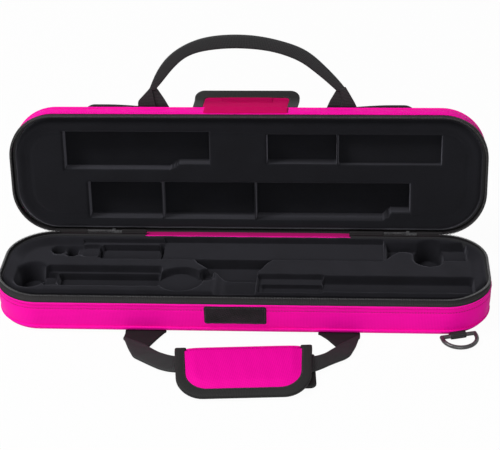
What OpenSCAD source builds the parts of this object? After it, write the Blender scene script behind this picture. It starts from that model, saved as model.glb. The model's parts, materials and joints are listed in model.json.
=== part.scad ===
// Soft flute case with a zip-round lid, shown open: padded tray, padded lid, two webbing handles,
// a wrap that joins the handles, a closure flap, an outside pocket and a strap ring.
// Frame: X along the length, +Y to the hinge side, +Z up, origin under the middle of the tray.

/* [Case] */
// Length of the case along X
case_l = 420; // [400:1:460]
// Depth of the case from front wall to back wall
case_w = 111; // [109:0.5:124]
// Radius of the upright corners
corner_r = 40; // [36:0.5:44]
// Height of the tray's fabric wall
base_h = 30.4; // [28:0.2:40]
// Height of the lid's fabric wall
lid_h = 19.8; // [17:0.2:30]
// Radius of the edge between a wall and the bottom or top panel
edge_r = 5.7; // [4.8:0.1:6.4]

/* [Walls] */
// Thickness of the outer fabric
cover_t = 1.2; // [0.8:0.1:1.5]
// Thickness of the stiffening shell under the fabric
frame_t = 2.4; // [1.8:0.1:2.8]
// Radius of the piping in the long seams
piping_r = 0.7; // [0.5:0.1:0.7]

/* [Zip] */
// Thickness of the zip tape
tape_t = 1.1; // [0.8:0.1:1.4]
// How far the tray's tape leans inwards
base_tape_in = 5.4; // [4:0.2:7]
// How high the tray's tape rises above its wall
base_tape_up = 2.4; // [1.6:0.2:3.4]
// Height of the lid's tape, which carries on straight from its wall
lid_tape_up = 7.4; // [5:0.2:9]
// Width of the row of zip teeth
teeth_w = 1.8; // [1.4:0.1:2.2]
// Height of the row of zip teeth
teeth_h = 0.7; // [0.5:0.1:1]
// Gap between the two rows of teeth when the lid is closed
zip_gap = 0.4; // [0.3:0.1:1]

/* [Hinge] */
// Turn of the lid from closed to the open rest position, in degrees
lid_swing = 97.4; // [90:0.2:104]
// Distance of the fabric hinge line in from the back wall
hinge_in = 0.4; // [0.2:0.1:0.8]
// Distance of the fabric hinge line below the closed zip line
hinge_drop = 4.9; // [4.6:0.1:5.4]
// Half length of the fabric hinge strip
spine_half = 91.5; // [70:0.5:95]
// Radius of the fabric hinge's folded bead
bead_r = 1; // [0.8:0.1:1.1]
// Gap between the bead and the lid's hinge strip
bead_gap = 0.3; // [0.2:0.1:0.4]
// Height of the zip tapes beside the fabric hinge
spine_h = 8.6; // [7:0.2:9]
// Length of the slider body along the zip
slider_l = 10; // [8:0.5:12]
// Width of the slider body across the zip
slider_w = 6; // [5:0.2:6.4]
// Height of the slider body above the tape
slider_t = 2; // [1.6:0.1:2.2]
// Length of a zip pull
pull_l = 28; // [22:0.5:30]
// Width of a zip pull
pull_w = 4.2; // [3.4:0.1:4.3]
// Thickness of a zip pull
pull_t = 1.2; // [1:0.1:1.5]
// Distance of the left slider's middle from the case's left end
left_slider_in = 93; // [88:1:100]
// Distance of the right slider's middle from the case's right end
right_slider_in = 64; // [60:1:68]

/* [Tray insert] */
// Height of the insert's top face above the ground
bed_z = 27; // [26:0.2:28]
// Height where the insert's rounded shoulder starts
bed_shoulder_z = 21; // [19:0.5:23]
// How far the insert's flat top lies in from its own edge
bed_shoulder_in = 7; // [4:0.5:8]
// Floor height of the long back channel
row_floor = 21; // [19:0.5:22]
// Floor height of the front channels
channel_floor = 18.5; // [16:0.5:20]
// Floor height of the finger wells
well_floor = 9; // [8:0.5:14]
// Front edge of the long back channel
row_y0 = 20.3; // [19:0.1:22]
// Back edge of the long back channel
row_y1 = 44.5; // [42:0.1:45]
// Front edge of the front channels
front_y0 = -29; // [-30:0.1:-27]
// Radius of the tube grooves in the channels
groove_r = 10.5; // [9:0.1:11]

/* [Lid insert] */
// Depth of the insert's face behind the zip line
lid_face_in = 4; // [3.4:0.1:5]
// Depth of the two recesses near the free edge
upper_recess = 13.6; // [10:0.2:14]
// Depth of the shallow right-hand recess
shallow_recess = 7.4; // [5:0.2:9]
// Depth of the long recess near the hinge
lower_recess = 17.2; // [14:0.2:17.4]

/* [Handles] */
// Distance of each handle foot's middle from the middle of the case
strap_x = 83; // [78:0.5:90]
// Width of the handle webbing
strap_w = 27; // [22:0.5:30]
// Thickness of the doubled handle webbing
strap_t = 3; // [2.4:0.1:3.2]
// Width of the folded grip
grip_w = 12.5; // [10:0.5:14]
// Distance of the front grip's middle from the front wall
grip_reach = 49.5; // [46:0.5:54]
// Radius of the rear handle's arch along its middle
arch_r = 102.5; // [98:0.5:110]
// Height of the rear handle's arch above its hinge line
arch_reach = 61.6; // [60:0.1:66]
// Sideways offset of the rear handle's arch
arch_x = -4; // [-5:0.5:-2]
// Gap between a handle foot and its anchor
foot_gap = 0.3; // [0.2:0.1:0.5]
// Thickness of the webbing where it is sewn down
anchor_t = 1.7; // [1.2:0.1:2]

/* [Wrap] */
// Width of the wrap across both grips
wrap_l = 113; // [100:1:118]
// Depth of the wrap's upper flap
wrap_w = 53; // [48:0.5:56]
// Depth of the wrap's lower layer
wrap_back_w = 44; // [40:0.5:46]
// Thickness of one padded layer of the wrap
wrap_t = 3.8; // [3:0.1:4]
// Sideways offset of the wrap on the grip
wrap_x = 5; // [0:0.5:8]
// Width of the binding tape round the wrap
binding_w = 9.5; // [7:0.5:11]
// How far a binding stands above the panel that it edges
binding_t = 0.4; // [0.3:0.1:0.8]
// Downward slope of the wrap's upper flap, in degrees
wrap_slope = 3; // [2:0.5:3]

/* [Closure flap] */
// Width of the closure flap
flap_l = 97; // [85:1:102]
// Length of the closure flap from its seam
flap_w = 43.5; // [40:0.5:44]
// Thickness of the closure flap's panel
flap_t = 3; // [2:0.1:3.2]
// Sideways offset of the closure flap
flap_x = -3.5; // [-6:0.5:6]
// Backward lean of the open closure flap past square, in degrees
flap_lean = 4.8; // [3:0.2:7]
// Thickness of a sewn hook or loop patch
patch_t = 1; // [0.6:0.1:1]
// Width of the loop patch on the front wall
patch_l = 52; // [44:0.5:56]
// Height of the loop patch on the front wall
patch_h = 16; // [12:0.5:17]
// Height of the loop patch's lower edge above the ground
patch_z = 10.8; // [9:0.2:13]

/* [Pocket] */
// Length of the outside pocket
pocket_l = 300; // [260:1:310]
// Height of the outside pocket
pocket_w = 89; // [80:0.5:90]
// Thickness of the outside pocket
pocket_t = 12; // [8:0.5:13]
// Radius of the pocket's corners
pocket_r = 24; // [16:0.5:28]
// Distance of the pocket's upper edge from the lid's free edge
pocket_edge = 6.2; // [5.8:0.1:7]
// Length of the pocket's zip
pocket_zip_l = 250; // [220:1:256]

/* [Strap ring] */
// Inner width of the strap ring
ring_w = 25; // [22:0.5:28]
// Outer depth of the strap ring from its bar to its round end
ring_d = 21; // [19.5:0.5:24]
// Radius of the ring's wire
wire_r = 1.75; // [1.5:0.05:2]
// Direction of the ring in plan, in degrees
ring_turn = -75; // [-80:1:-60]

/* [Hidden] */
$fn = 64;
pink = "deeppink";
black = "#1c1c1f";
lining = "#2a2a30";
steel = "silver";

half_l = case_l / 2;
half_w = case_w / 2;
eps = 0.01;

// Heights of the closed zip line and of the hinge line, and the full height of the lid
close_z = base_h + base_tape_up + teeth_h + zip_gap;
hinge_y = half_w - hinge_in;
hinge_z = close_z - hinge_drop;
lid_full = lid_h + lid_tape_up + teeth_h;

// Where the shells and the inserts start, in from the outline and up from the ground
frame_in = cover_t;
insert_in = cover_t + frame_t;

// ---- shared shapes ----

// Flat outline with four round corners, drawn in from the case's own outline
module outline(inset = 0) {
    l = case_l - 2 * inset;
    w = case_w - 2 * inset;
    round_plate_2d(l, w, corner_r - inset);
}

module round_plate_2d(l, w, r) {
    square([l - 2 * r, w], center = true);
    square([l, w - 2 * r], center = true);
    for (sx = [-1, 1], sy = [-1, 1])
        translate([sx * (l / 2 - r), sy * (w / 2 - r)])
            circle(r);
}

module round_plate(l, w, r, h) {
    linear_extrude(h)
        round_plate_2d(l, w, r);
}

// Band between two insets of the outline
module wall(inset, thick, z0, z1) {
    translate([0, 0, z0])
        linear_extrude(z1 - z0)
            difference() {
                outline(inset);
                outline(inset + thick);
            }
}

// Carries a flat profile round the corners and straight runs of a rounded rectangle.
// The profile's x is the distance from a corner's middle and its y is the height.
// Without back, the run on the +Y side is left out.
module run_round(l, w, r, back = true) {
    for (k = [0:3])
        translate([(k == 0 || k == 3 ? 1 : -1) * (l / 2 - r), (k < 2 ? 1 : -1) * (w / 2 - r), 0])
            rotate([0, 0, 90 * k])
                rotate_extrude(angle = 90)
                    children();
    for (side = back ? [0, 180] : [180])
        rotate([0, 0, side])
            translate([-(l / 2 - r), w / 2 - r, 0])
                rotate([90, 0, 90])
                    linear_extrude(l - 2 * r)
                        children();
    for (side = [90, 270])
        rotate([0, 0, side])
            translate([-(w / 2 - r), l / 2 - r, 0])
                rotate([90, 0, 90])
                    linear_extrude(w - 2 * r)
                        children();
}

// Quarter round band between a panel and a wall
module edge_round(inset, thick) {
    run_round(case_l, case_w, corner_r)
        translate([corner_r - edge_r, edge_r])
            intersection() {
                difference() {
                    circle(edge_r - inset);
                    circle(edge_r - inset - thick);
                }
                translate([0, -edge_r])
                    square(edge_r);
            }
}

// Panel with its rounded edge, as one dish
module dish(inset, thick) {
    translate([0, 0, inset])
        linear_extrude(thick)
            outline(edge_r);
    edge_round(inset, thick);
}

module piping() {
    run_round(case_l, case_w, corner_r)
        translate([corner_r + piping_r, edge_r])
            circle(piping_r);
}

// Moves shapes drawn in the lid's own frame, where z = 0 is the outside panel and +Y the free edge,
// to the lid's open rest position
module on_lid() {
    translate([0, hinge_y, hinge_z])
        rotate([-lid_swing, 0, 0])
            translate([0, -hinge_y, close_z + lid_full - hinge_z])
                rotate([180, 0, 0])
                    children();
}

// Round bar along X, for grooves, folds and webbing feet
module rod_x(x0, x1, y, z, r) {
    translate([x0, y, z])
        rotate([0, 90, 0])
            cylinder(r = r, h = x1 - x0);
}

module block(low, high) {
    translate(low)
        cube(high - low);
}

// ---- tray ----

// Low stretch of the back wall that leaves room for the fabric hinge
module hinge_notch() {
    block([-spine_half, half_w - insert_in - eps, hinge_z - bead_r],
        [spine_half, half_w + eps, base_h + eps]);
}

module base_side_cover() {
    color(pink)
        difference() {
            wall(0, cover_t, edge_r, base_h);
            hinge_notch();
        }
}

module base_bottom_cover() {
    color(pink)
        dish(0, cover_t);
}

module base_piping() {
    color(pink)
        piping();
}

module base_frame() {
    color(lining)
        difference() {
            union() {
                dish(frame_in, frame_t);
                wall(frame_in, frame_t, edge_r, base_h);
            }
            hinge_notch();
        }
}

// Finger well with round ends, cut down into the insert
module well(x0, x1, y0, y1, floor_z) {
    r = (x1 - x0) / 2;
    translate([(x0 + x1) / 2, 0, floor_z])
        linear_extrude(base_h) {
            translate([0, y0 + r])
                circle(r);
            translate([0, y1 - r])
                circle(r);
            translate([-r, y0 + r])
                square([2 * r, y1 - y0 - 2 * r]);
        }
}

// Places along X and Y of the tray's channels, read from the open tray
row_x = [-145.6, 121];
row_tip_x = -170;
row_tip_y = [25, 40];
saddle_x = [124, 148];
saddle_y = [23, 44.5];
back_well_x = [146.7, 168.8];
back_well_y = [14, 44.5];
back_end_x = [167, 193];
back_end_y = [22.5, 44.5];
groove_x = [-143, -72];
foot_bed_x = [-172, -71];
foot_bed_y = [-21.6, 7.1];
foot_slot_x = [-158, -72.4];
foot_slot_y = [-15.7, -5.3];
foot_slot_drop = 6.5;
round_well = [-52.5, -12.6];
round_well_r = 17.5;
left_well_x = [-196, -171.5];
left_well_y = [-24.8, 9.7];
notch_x = [-36, -22];
notch_y = [-23, -3.4];
middle_floor = 12;
middle_outline = [
    [-44, row_y0 + eps], [-41.7, 15.8], [-22.9, 0], [-22.9, front_y0],
    [10.7, front_y0], [10.7, 1.4], [19.4, 15.3], [25.2, row_y0 + eps]
];
head_x = [10.6, 69];
head_y1 = -2;
head_long_x1 = 196;
head_long_y1 = -5.7;

module base_cavities() {
    up = base_h;
    // long back channel, its narrow left tip and the parts right of its rib
    block([row_x[0], row_y0, row_floor], [row_x[1], row_y1, up]);
    block([row_tip_x, row_tip_y[0], row_floor], [row_x[0] + eps, row_tip_y[1], up]);
    block([saddle_x[0], saddle_y[0], row_floor], [saddle_x[1], saddle_y[1], up]);
    block([back_end_x[0], back_end_y[0], channel_floor], [back_end_x[1], back_end_y[1], up]);
    well(back_well_x[0], back_well_x[1], back_well_y[0], back_well_y[1], well_floor);
    rod_x(groove_x[0], groove_x[1], (row_y0 + row_y1) / 2, row_floor, groove_r);
    // front left channel with its slot and wells
    block([foot_bed_x[0], foot_bed_y[0], channel_floor], [foot_bed_x[1], foot_bed_y[1], up]);
    block([foot_slot_x[0], foot_slot_y[0], channel_floor - foot_slot_drop],
        [foot_slot_x[1], foot_slot_y[1], up]);
    well(left_well_x[0], left_well_x[1], left_well_y[0], left_well_y[1], well_floor);
    translate([round_well[0], round_well[1], channel_floor - foot_slot_drop / 2])
        cylinder(r = round_well_r, h = up);
    block([notch_x[0], notch_y[0], channel_floor], [notch_x[1], notch_y[1], up]);
    // middle well, open to the back channel
    translate([0, 0, middle_floor])
        linear_extrude(up)
            polygon(middle_outline);
    // front right channel in two widths
    block([head_x[0], front_y0, channel_floor - eps], [head_x[1], head_y1, up]);
    block([head_x[1] - eps, front_y0, channel_floor], [head_long_x1, head_long_y1, up]);
    rod_x(head_x[0], head_x[1], (front_y0 + head_y1) / 2, channel_floor, groove_r / 1.5);
}

module base_insert() {
    color(lining)
        difference() {
            union() {
                translate([0, 0, insert_in])
                    linear_extrude(edge_r - insert_in)
                        outline(edge_r);
                translate([0, 0, edge_r])
                    linear_extrude(bed_shoulder_z - edge_r)
                        outline(insert_in);
                translate([0, 0, bed_shoulder_z])
                    linear_extrude(bed_z - bed_shoulder_z)
                        outline(insert_in + bed_shoulder_in);
            }
            base_cavities();
        }
}

// Leaning zip tape: from the wall's top edge in and up to the teeth
module base_zip_tape() {
    color(black)
        run_round(case_l, case_w, corner_r, back = false)
            polygon([
                [corner_r, base_h], [corner_r - tape_t, base_h],
                [corner_r - base_tape_in - tape_t, base_h + base_tape_up],
                [corner_r - base_tape_in, base_h + base_tape_up]
            ]);
}

module base_zip_teeth() {
    color("#3a3a3e")
        run_round(case_l, case_w, corner_r, back = false)
            translate([corner_r - base_tape_in - teeth_w, base_h + base_tape_up])
                square([teeth_w, teeth_h]);
}

patch_x = -3.5;

module loop_patch() {
    color(black)
        block([patch_x - patch_l / 2, -half_w - patch_t, patch_z],
            [patch_x + patch_l / 2, -half_w, patch_z + patch_h]);
}

// ---- fabric hinge, zip ends and sliders ----

// Height of the hinge line in the lid's own frame
lid_drop = close_z + lid_full - hinge_z;
zip_end_x = half_l - corner_r;
left_slider_x = left_slider_in - half_l;
right_slider_x = half_l - right_slider_in;
hinge_clear = 0.05;
strip_in = 0.5;
strip_t = 1;

// Folded bead of fabric on the hinge line, sewn to the tray's back wall
module hinge_bead() {
    color(pink)
        rod_x(-spine_half, spine_half, hinge_y, hinge_z, bead_r);
}

// Fabric strip from the lid's wall to the bead
module hinge_strip() {
    strip_y = hinge_y + hinge_clear;
    color(pink)
        on_lid()
            block([-spine_half + strip_in, -strip_y, lid_h],
                [spine_half - strip_in, -strip_y + strip_t, lid_drop - bead_r - bead_gap]);
}

module hinge_tapes() {
    color(black)
        for (side = [-1, 1])
            translate([side * (spine_half + zip_end_x) / 2, half_w + tape_t / 2, hinge_z])
                cube([zip_end_x - spine_half, tape_t, spine_h], center = true);
}

// Slider with two ears and a pin, drawn with x along the zip, y across it and z away from the tape.
// The ears stand at its -X end.
ear_t = 0.7;
pin_r = 0.7;
eye_r = 1.4;
pin_clear = 0.05;
slide_gap = 0.1;
pin_h = slider_t + eye_r + slide_gap;

module slider_body() {
    color(steel) {
        translate([-slider_l / 2, -slider_w / 2, 0])
            cube([slider_l, slider_w, slider_t]);
        for (side = [-1, 1])
            translate([-slider_l / 2, side * (slider_w - ear_t) / 2 - ear_t / 2, slider_t])
                cube([2 * eye_r, ear_t, 2 * eye_r]);
        translate([-slider_l / 2 + eye_r, 0, pin_h])
            rotate([90, 0, 0])
                cylinder(r = pin_r, h = slider_w - ear_t, center = true);
    }
}

// Flat pull with an eye on the pin and a round end with a hole, lying towards -X from the pin
module pull_tab() {
    color(steel)
        translate([-slider_l / 2 + eye_r, 0, pin_h])
            difference() {
                union() {
                    rotate([90, 0, 0])
                        cylinder(r = eye_r, h = pull_w, center = true);
                    translate([0, 0, -pull_t / 2])
                        linear_extrude(pull_t) {
                            translate([-pull_l + pull_w / 2, -pull_w / 2])
                                square([pull_l - pull_w / 2, pull_w]);
                            translate([-pull_l + pull_w / 2, 0])
                                circle(pull_w / 2);
                        }
                }
                rotate([90, 0, 0])
                    cylinder(r = pin_r + pin_clear, h = slider_w, center = true);
                translate([-pull_l + pull_w / 2, 0, -pull_t])
                    cylinder(r = pull_w / 4, h = 2 * pull_t);
            }
}

// Moves shapes to the back zip, with their z pointing away from the tray's back wall
module on_back_zip(x) {
    translate([x, half_w + tape_t + slide_gap, hinge_z])
        rotate([-90, 0, 0])
            children();
}

module left_slider() {
    on_back_zip(left_slider_x)
        slider_body();
}

module left_pull() {
    on_back_zip(left_slider_x)
        pull_tab();
}

module right_slider() {
    on_back_zip(right_slider_x)
        slider_body();
}

module right_pull() {
    on_back_zip(right_slider_x)
        pull_tab();
}

// ---- strap ring ----

ring_z = 3.05;
bar_reach = corner_r + 3.6;
tab_t = 1;
ring_clear = 0.05;
tab_w = ring_w - 1.2;

// Moves shapes to the front right corner: x runs outwards from the corner's middle
module at_ring() {
    translate([half_l - corner_r, -(half_w - corner_r), ring_z])
        rotate([0, 0, ring_turn])
            children();
}

// Webbing loop round the ring's bar, sewn to the corner's rounded lower edge
module ring_tab() {
    color(black)
        at_ring()
            difference() {
                union() {
                    translate([bar_reach, 0, 0])
                        rotate([90, 0, 0])
                            cylinder(r = wire_r + tab_t, h = tab_w, center = true);
                    translate([corner_r - edge_r, -tab_w / 2, -tab_t])
                        cube([bar_reach - corner_r + edge_r, tab_w, 2 * tab_t]);
                }
                translate([bar_reach, 0, 0])
                    rotate([90, 0, 0])
                        cylinder(r = wire_r + ring_clear, h = 2 * tab_w, center = true);
                translate([0, 0, edge_r - ring_z])
                    rotate_extrude() {
                        translate([0, -edge_r])
                            square([corner_r - edge_r, 2 * edge_r]);
                        intersection() {
                            translate([corner_r - edge_r, 0])
                                circle(edge_r);
                            translate([corner_r - 2 * edge_r, -edge_r])
                                square([2 * edge_r, 2 * edge_r]);
                        }
                    }
            }
}

// Bar, two legs and a half round end
module strap_ring() {
    bow = ring_w / 2 + wire_r;
    straight = ring_d - 2 * wire_r - bow;
    color(steel)
        at_ring()
            translate([bar_reach, 0, 0]) {
                rotate([90, 0, 0])
                    cylinder(r = wire_r, h = 2 * bow, center = true);
                for (side = [-1, 1])
                    translate([0, side * bow, 0]) {
                        sphere(wire_r);
                        rotate([0, 90, 0])
                            cylinder(r = wire_r, h = straight);
                    }
                translate([straight, 0, 0])
                    rotate([0, 0, -90])
                        rotate_extrude(angle = 180)
                            translate([bow, 0])
                                circle(wire_r);
            }
}

// ---- front handle ----

ground_gap = 0.25;
foot_r = strap_t / 2;
foot_z = foot_r + ground_gap;
foot_y = -half_w - foot_r;
grip_y = -half_w - grip_reach;
core_z0 = ground_gap + wrap_t;
core_t = 2.7;
grip_end = strap_x + 3;
strap_stop = wrap_x + wrap_l / 2 + 0.8;
strap_bend_y = foot_y - 20;
strap_crease_y = foot_y - 25;

// Sewn ends of the webbing, tucked under the tray's round bottom edge
module front_anchors() {
    color(black)
        for (side = [-1, 1])
            difference() {
                block([side * strap_x - strap_w / 2, -half_w + foot_gap, ground_gap],
                    [side * strap_x + strap_w / 2, -half_w + edge_r * 0.8, ground_gap + strap_t]);
                rod_x(-half_l, half_l, -half_w + edge_r, edge_r, edge_r);
            }
}

// Flat fold of webbing from its round foot on the hinge line to the grip's end
module front_strap() {
    translate([0, 0, ground_gap])
        linear_extrude(strap_t)
            polygon([
                [strap_x - strap_w / 2, foot_y], [strap_x + strap_w / 2, foot_y],
                [strap_x + strap_w / 2, strap_bend_y], [grip_end, grip_y + grip_w / 2],
                [grip_end - 4, grip_y - grip_w / 2], [strap_stop, grip_y - grip_w / 2],
                [strap_stop, grip_y + grip_w / 2], [strap_x - 10, strap_crease_y]
            ]);
    block([strap_stop, grip_y - grip_w / 2, ground_gap],
        [grip_end - 4, grip_y + grip_w / 2, core_z0]);
    rod_x(strap_x - strap_w / 2, strap_x + strap_w / 2, foot_y, foot_z, foot_r);
}

module front_straps() {
    color(black) {
        front_strap();
        mirror([1, 0, 0])
            front_strap();
    }
}

module front_grip() {
    color(black)
        block([-grip_end, grip_y - grip_w / 2, core_z0],
            [grip_end, grip_y + grip_w / 2, core_z0 + core_t]);
}

// ---- wrap ----

fold_r = 1.9;
fold_y = grip_y + grip_w / 2 + 4.6;
fold_z = core_z0 + fold_r;
wrap_gap = 0.4;
layer_z = fold_r + wrap_gap;
layer_y = 0.5;
wrap_back_l = wrap_l - 4;

module wrap_back() {
    color(pink)
        block([wrap_x - wrap_back_l / 2, fold_y - wrap_back_w, ground_gap],
            [wrap_x + wrap_back_l / 2, fold_y + fold_r, core_z0]);
}

module wrap_fold() {
    color(pink)
        rod_x(wrap_x - wrap_back_l / 2, wrap_x + wrap_back_l / 2, fold_y, fold_z, fold_r);
}

fastener_l = 84;
fastener_w = 16;
fastener_t = 0.7;
fastener_in = 24;
fastener_y = fold_y - fastener_in;

module wrap_loop() {
    color(black)
        block([wrap_x - fastener_l / 2, fastener_y - fastener_w, core_z0],
            [wrap_x + fastener_l / 2, fastener_y, core_z0 + fastener_t]);
}

// Moves shapes to the wrap's upper flap: y runs from the fold to the free edge, z up
module on_wrap() {
    translate([wrap_x, fold_y, fold_z])
        rotate([wrap_slope, 0, 0])
            mirror([0, 1, 0])
                children();
}

// Flap outline: a rectangle whose two free corners are round
module tongue_2d(l, w, r) {
    translate([-l / 2, 0])
        square([l, w - r]);
    translate([-l / 2 + r, 0])
        square([l - 2 * r, w]);
    for (side = [-1, 1])
        translate([side * (l / 2 - r), w - r])
            circle(r);
}

wrap_corner_r = 22;
flap_corner_r = 14;

// The edge band of a tongue
module tongue_band_2d(l, w, r) {
    difference() {
        tongue_2d(l, w, r);
        translate([0, -eps])
            tongue_2d(l - 2 * binding_w, w - binding_w + eps, r - binding_w / 2);
    }
}

module wrap_flap() {
    color(pink)
        on_wrap()
            translate([0, layer_y, layer_z])
                linear_extrude(wrap_t)
                    tongue_2d(wrap_l - 2 * binding_w, wrap_w - binding_w,
                        wrap_corner_r - binding_w / 2);
}

module wrap_binding() {
    color(black)
        on_wrap()
            translate([0, layer_y, layer_z])
                linear_extrude(wrap_t + binding_t)
                    tongue_band_2d(wrap_l, wrap_w, wrap_corner_r);
}

module wrap_hook() {
    color(black)
        on_wrap()
            translate([-fastener_l / 2, fastener_in, layer_z - fastener_t])
                cube([fastener_l, fastener_w, fastener_t]);
}

// ---- lid ----

module lid_side_cover() {
    color(pink)
        on_lid()
            wall(0, cover_t, edge_r, lid_h);
}

module lid_top_cover() {
    color(pink)
        on_lid()
            dish(0, cover_t);
}

module lid_piping() {
    color(pink)
        on_lid()
            piping();
}

module lid_frame() {
    color(lining)
        on_lid() {
            dish(frame_in, frame_t);
            wall(frame_in, frame_t, edge_r, lid_h);
        }
}

lid_face_z = lid_full - lid_face_in;
lid_shoulder_z = lid_h - 1;
left_recess_x = [-163, -69, -59.6, -31];
left_recess_u = [59.3, 65.2, 95.2];
right_recess_x = [16.8, 79.6, 168.5];
right_recess_u = [65.8, 93];
long_recess_x = [-143, -76, 120.3, 128, 141.5];
long_recess_u = [13.2, 20.4, 48];
long_recess_left = 14.3;
long_recess_right = 11.5;

// Height along the lid, from its hinge edge, in the lid's own Y
function up_lid(u) = u - half_w;

module lid_recess(points, depth) {
    translate([0, 0, lid_face_z - depth])
        linear_extrude(depth + lid_full)
            polygon(points);
}

module lid_cavities() {
    lid_recess([
        [left_recess_x[0], up_lid(left_recess_u[0])], [left_recess_x[1], up_lid(left_recess_u[0])],
        [left_recess_x[2], up_lid(left_recess_u[1])], [left_recess_x[3], up_lid(left_recess_u[1])],
        [left_recess_x[3], up_lid(left_recess_u[2])], [left_recess_x[0], up_lid(left_recess_u[2])]
    ], upper_recess);
    lid_recess([
        [right_recess_x[0], up_lid(right_recess_u[0])], [right_recess_x[1], up_lid(right_recess_u[0])],
        [right_recess_x[1], up_lid(right_recess_u[1])], [right_recess_x[0], up_lid(right_recess_u[1])]
    ], upper_recess);
    lid_recess([
        [right_recess_x[1] - eps, up_lid(right_recess_u[0])],
        [right_recess_x[2], up_lid(right_recess_u[0])],
        [right_recess_x[2], up_lid(right_recess_u[1])],
        [right_recess_x[1] - eps, up_lid(right_recess_u[1])]
    ], shallow_recess);
    lid_recess([
        [long_recess_x[0], up_lid(long_recess_u[0])], [long_recess_x[1] + eps, up_lid(long_recess_u[0])],
        [long_recess_x[1] + eps, up_lid(long_recess_u[2])], [long_recess_x[0], up_lid(long_recess_u[2])]
    ], long_recess_left);
    lid_recess([
        [long_recess_x[1], up_lid(long_recess_u[0])], [long_recess_x[2], up_lid(long_recess_u[0])],
        [long_recess_x[2], up_lid(long_recess_u[2])], [long_recess_x[1], up_lid(long_recess_u[2])]
    ], lower_recess);
    lid_recess([
        [long_recess_x[2] - eps, up_lid(long_recess_u[0])],
        [long_recess_x[3], up_lid(long_recess_u[1])], [long_recess_x[4], up_lid(long_recess_u[1])],
        [long_recess_x[4], up_lid(long_recess_u[2])],
        [long_recess_x[2] - eps, up_lid(long_recess_u[2])]
    ], long_recess_right);
}

module lid_insert() {
    color(lining)
        on_lid()
            difference() {
                union() {
                    translate([0, 0, insert_in])
                        linear_extrude(edge_r - insert_in)
                            outline(edge_r);
                    translate([0, 0, edge_r])
                        linear_extrude(lid_shoulder_z - edge_r)
                            outline(insert_in);
                    translate([0, 0, lid_shoulder_z])
                        linear_extrude(lid_face_z - lid_shoulder_z)
                            outline(insert_in + bed_shoulder_in);
                }
                lid_cavities();
            }
}

module lid_zip_tape() {
    color(black)
        on_lid()
            rotate([0, 0, 180])
                run_round(case_l, case_w, corner_r, back = false)
                    translate([corner_r - tape_t, lid_h])
                        square([tape_t, lid_tape_up]);
}

module lid_zip_teeth() {
    color("#3a3a3e")
        on_lid()
            rotate([0, 0, 180])
                run_round(case_l, case_w, corner_r, back = false)
                    translate([corner_r - teeth_w, lid_h + lid_tape_up])
                        square([teeth_w, teeth_h]);
}

// ---- rear handle ----

rear_foot_y = half_w - foot_r;
rear_foot_z = -foot_r - 0.4;
rear_face = half_w - edge_r;

module rear_anchors() {
    color(black)
        on_lid()
            for (side = [-1, 1])
                block([side * strap_x - strap_w / 2, rear_face - 0.4, -anchor_t],
                    [side * strap_x + strap_w / 2, rear_foot_y - foot_r - foot_gap, 0]);
}

// Foot of the rear handle: a wide fold of webbing that narrows to the grip
pinch_h = 17.5;
pinch_w = 10;
grip_join_h = 27;

module rear_strap(side) {
    foot_x = side * strap_x;
    arch_y = rear_foot_y + arch_reach - arch_r;
    join_x = arch_x + side * sqrt(pow(arch_r, 2) - pow(rear_foot_y + grip_join_h - arch_y, 2));
    translate([0, 0, rear_foot_z - foot_r])
        linear_extrude(strap_t)
            polygon([
                [foot_x - strap_w / 2, rear_foot_y], [foot_x + strap_w / 2, rear_foot_y],
                [foot_x + pinch_w / 2, rear_foot_y + pinch_h],
                [join_x + grip_w / 2, rear_foot_y + grip_join_h],
                [join_x - grip_w / 2, rear_foot_y + grip_join_h],
                [foot_x - pinch_w / 2, rear_foot_y + pinch_h]
            ]);
    rod_x(foot_x - strap_w / 2, foot_x + strap_w / 2, rear_foot_y, rear_foot_z, foot_r);
}

module rear_straps() {
    color(black)
        on_lid() {
            rear_strap(-1);
            rear_strap(1);
        }
}

// The grip: a band of the arch's ring above the feet
module rear_grip() {
    arch_y = rear_foot_y + arch_reach - arch_r;
    color(black)
        on_lid()
            translate([0, 0, rear_foot_z - foot_r])
                linear_extrude(strap_t)
                    intersection() {
                        difference() {
                            translate([arch_x, arch_y])
                                circle(arch_r + grip_w / 2);
                            translate([arch_x, arch_y])
                                circle(arch_r - grip_w / 2);
                        }
                        translate([-case_l / 2, rear_foot_y + grip_join_h])
                            square([case_l, arch_r]);
                    }
}

// ---- closure flap ----

// The seam line lies just outside the lid's piping; the open flap's root clears it
web_t = 1.2;
web_l = 5.1;
flap_pivot_y = half_w + 2 * piping_r + 0.4;
flap_pivot_z = edge_r - piping_r - web_t / 2 - 0.35;
patch_gap = 0.5;
flap_off = half_w + 2 * patch_t + patch_gap - flap_pivot_y;

// Moves shapes to the flap: y runs from its seam to its free edge, and z is its inner side
module on_flap() {
    on_lid()
        translate([flap_x, flap_pivot_y, flap_pivot_z])
            rotate([-90 - flap_lean, 0, 0])
                children();
}

module flap_panel() {
    color(pink)
        on_flap() {
            translate([0, web_l, -flap_off - flap_t])
                linear_extrude(flap_t)
                    tongue_2d(flap_l - 2 * binding_w, flap_w - binding_w - web_l,
                        flap_corner_r - binding_w / 2);
            translate([-flap_l / 2, 0, -flap_off - web_t / 2])
                cube([flap_l, web_l, web_t]);
            for (z = [-flap_off, 0])
                translate([-flap_l / 2, 0, z])
                    rotate([0, 90, 0])
                        cylinder(r = web_t / 2, h = flap_l);
        }
}

module flap_binding() {
    color(black)
        on_flap()
            translate([0, web_l, -flap_off - flap_t - binding_t])
                linear_extrude(flap_t + binding_t)
                    tongue_band_2d(flap_l, flap_w - web_l, flap_corner_r);
}

hook_l = 48;
hook_w = 13;
hook_in = 3;

module flap_hook() {
    color("mediumvioletred")
        on_flap()
            translate([-hook_l / 2, flap_w - hook_in - hook_w, -flap_off])
                cube([hook_l, hook_w, patch_t]);
}

// ---- outside pocket ----

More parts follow.
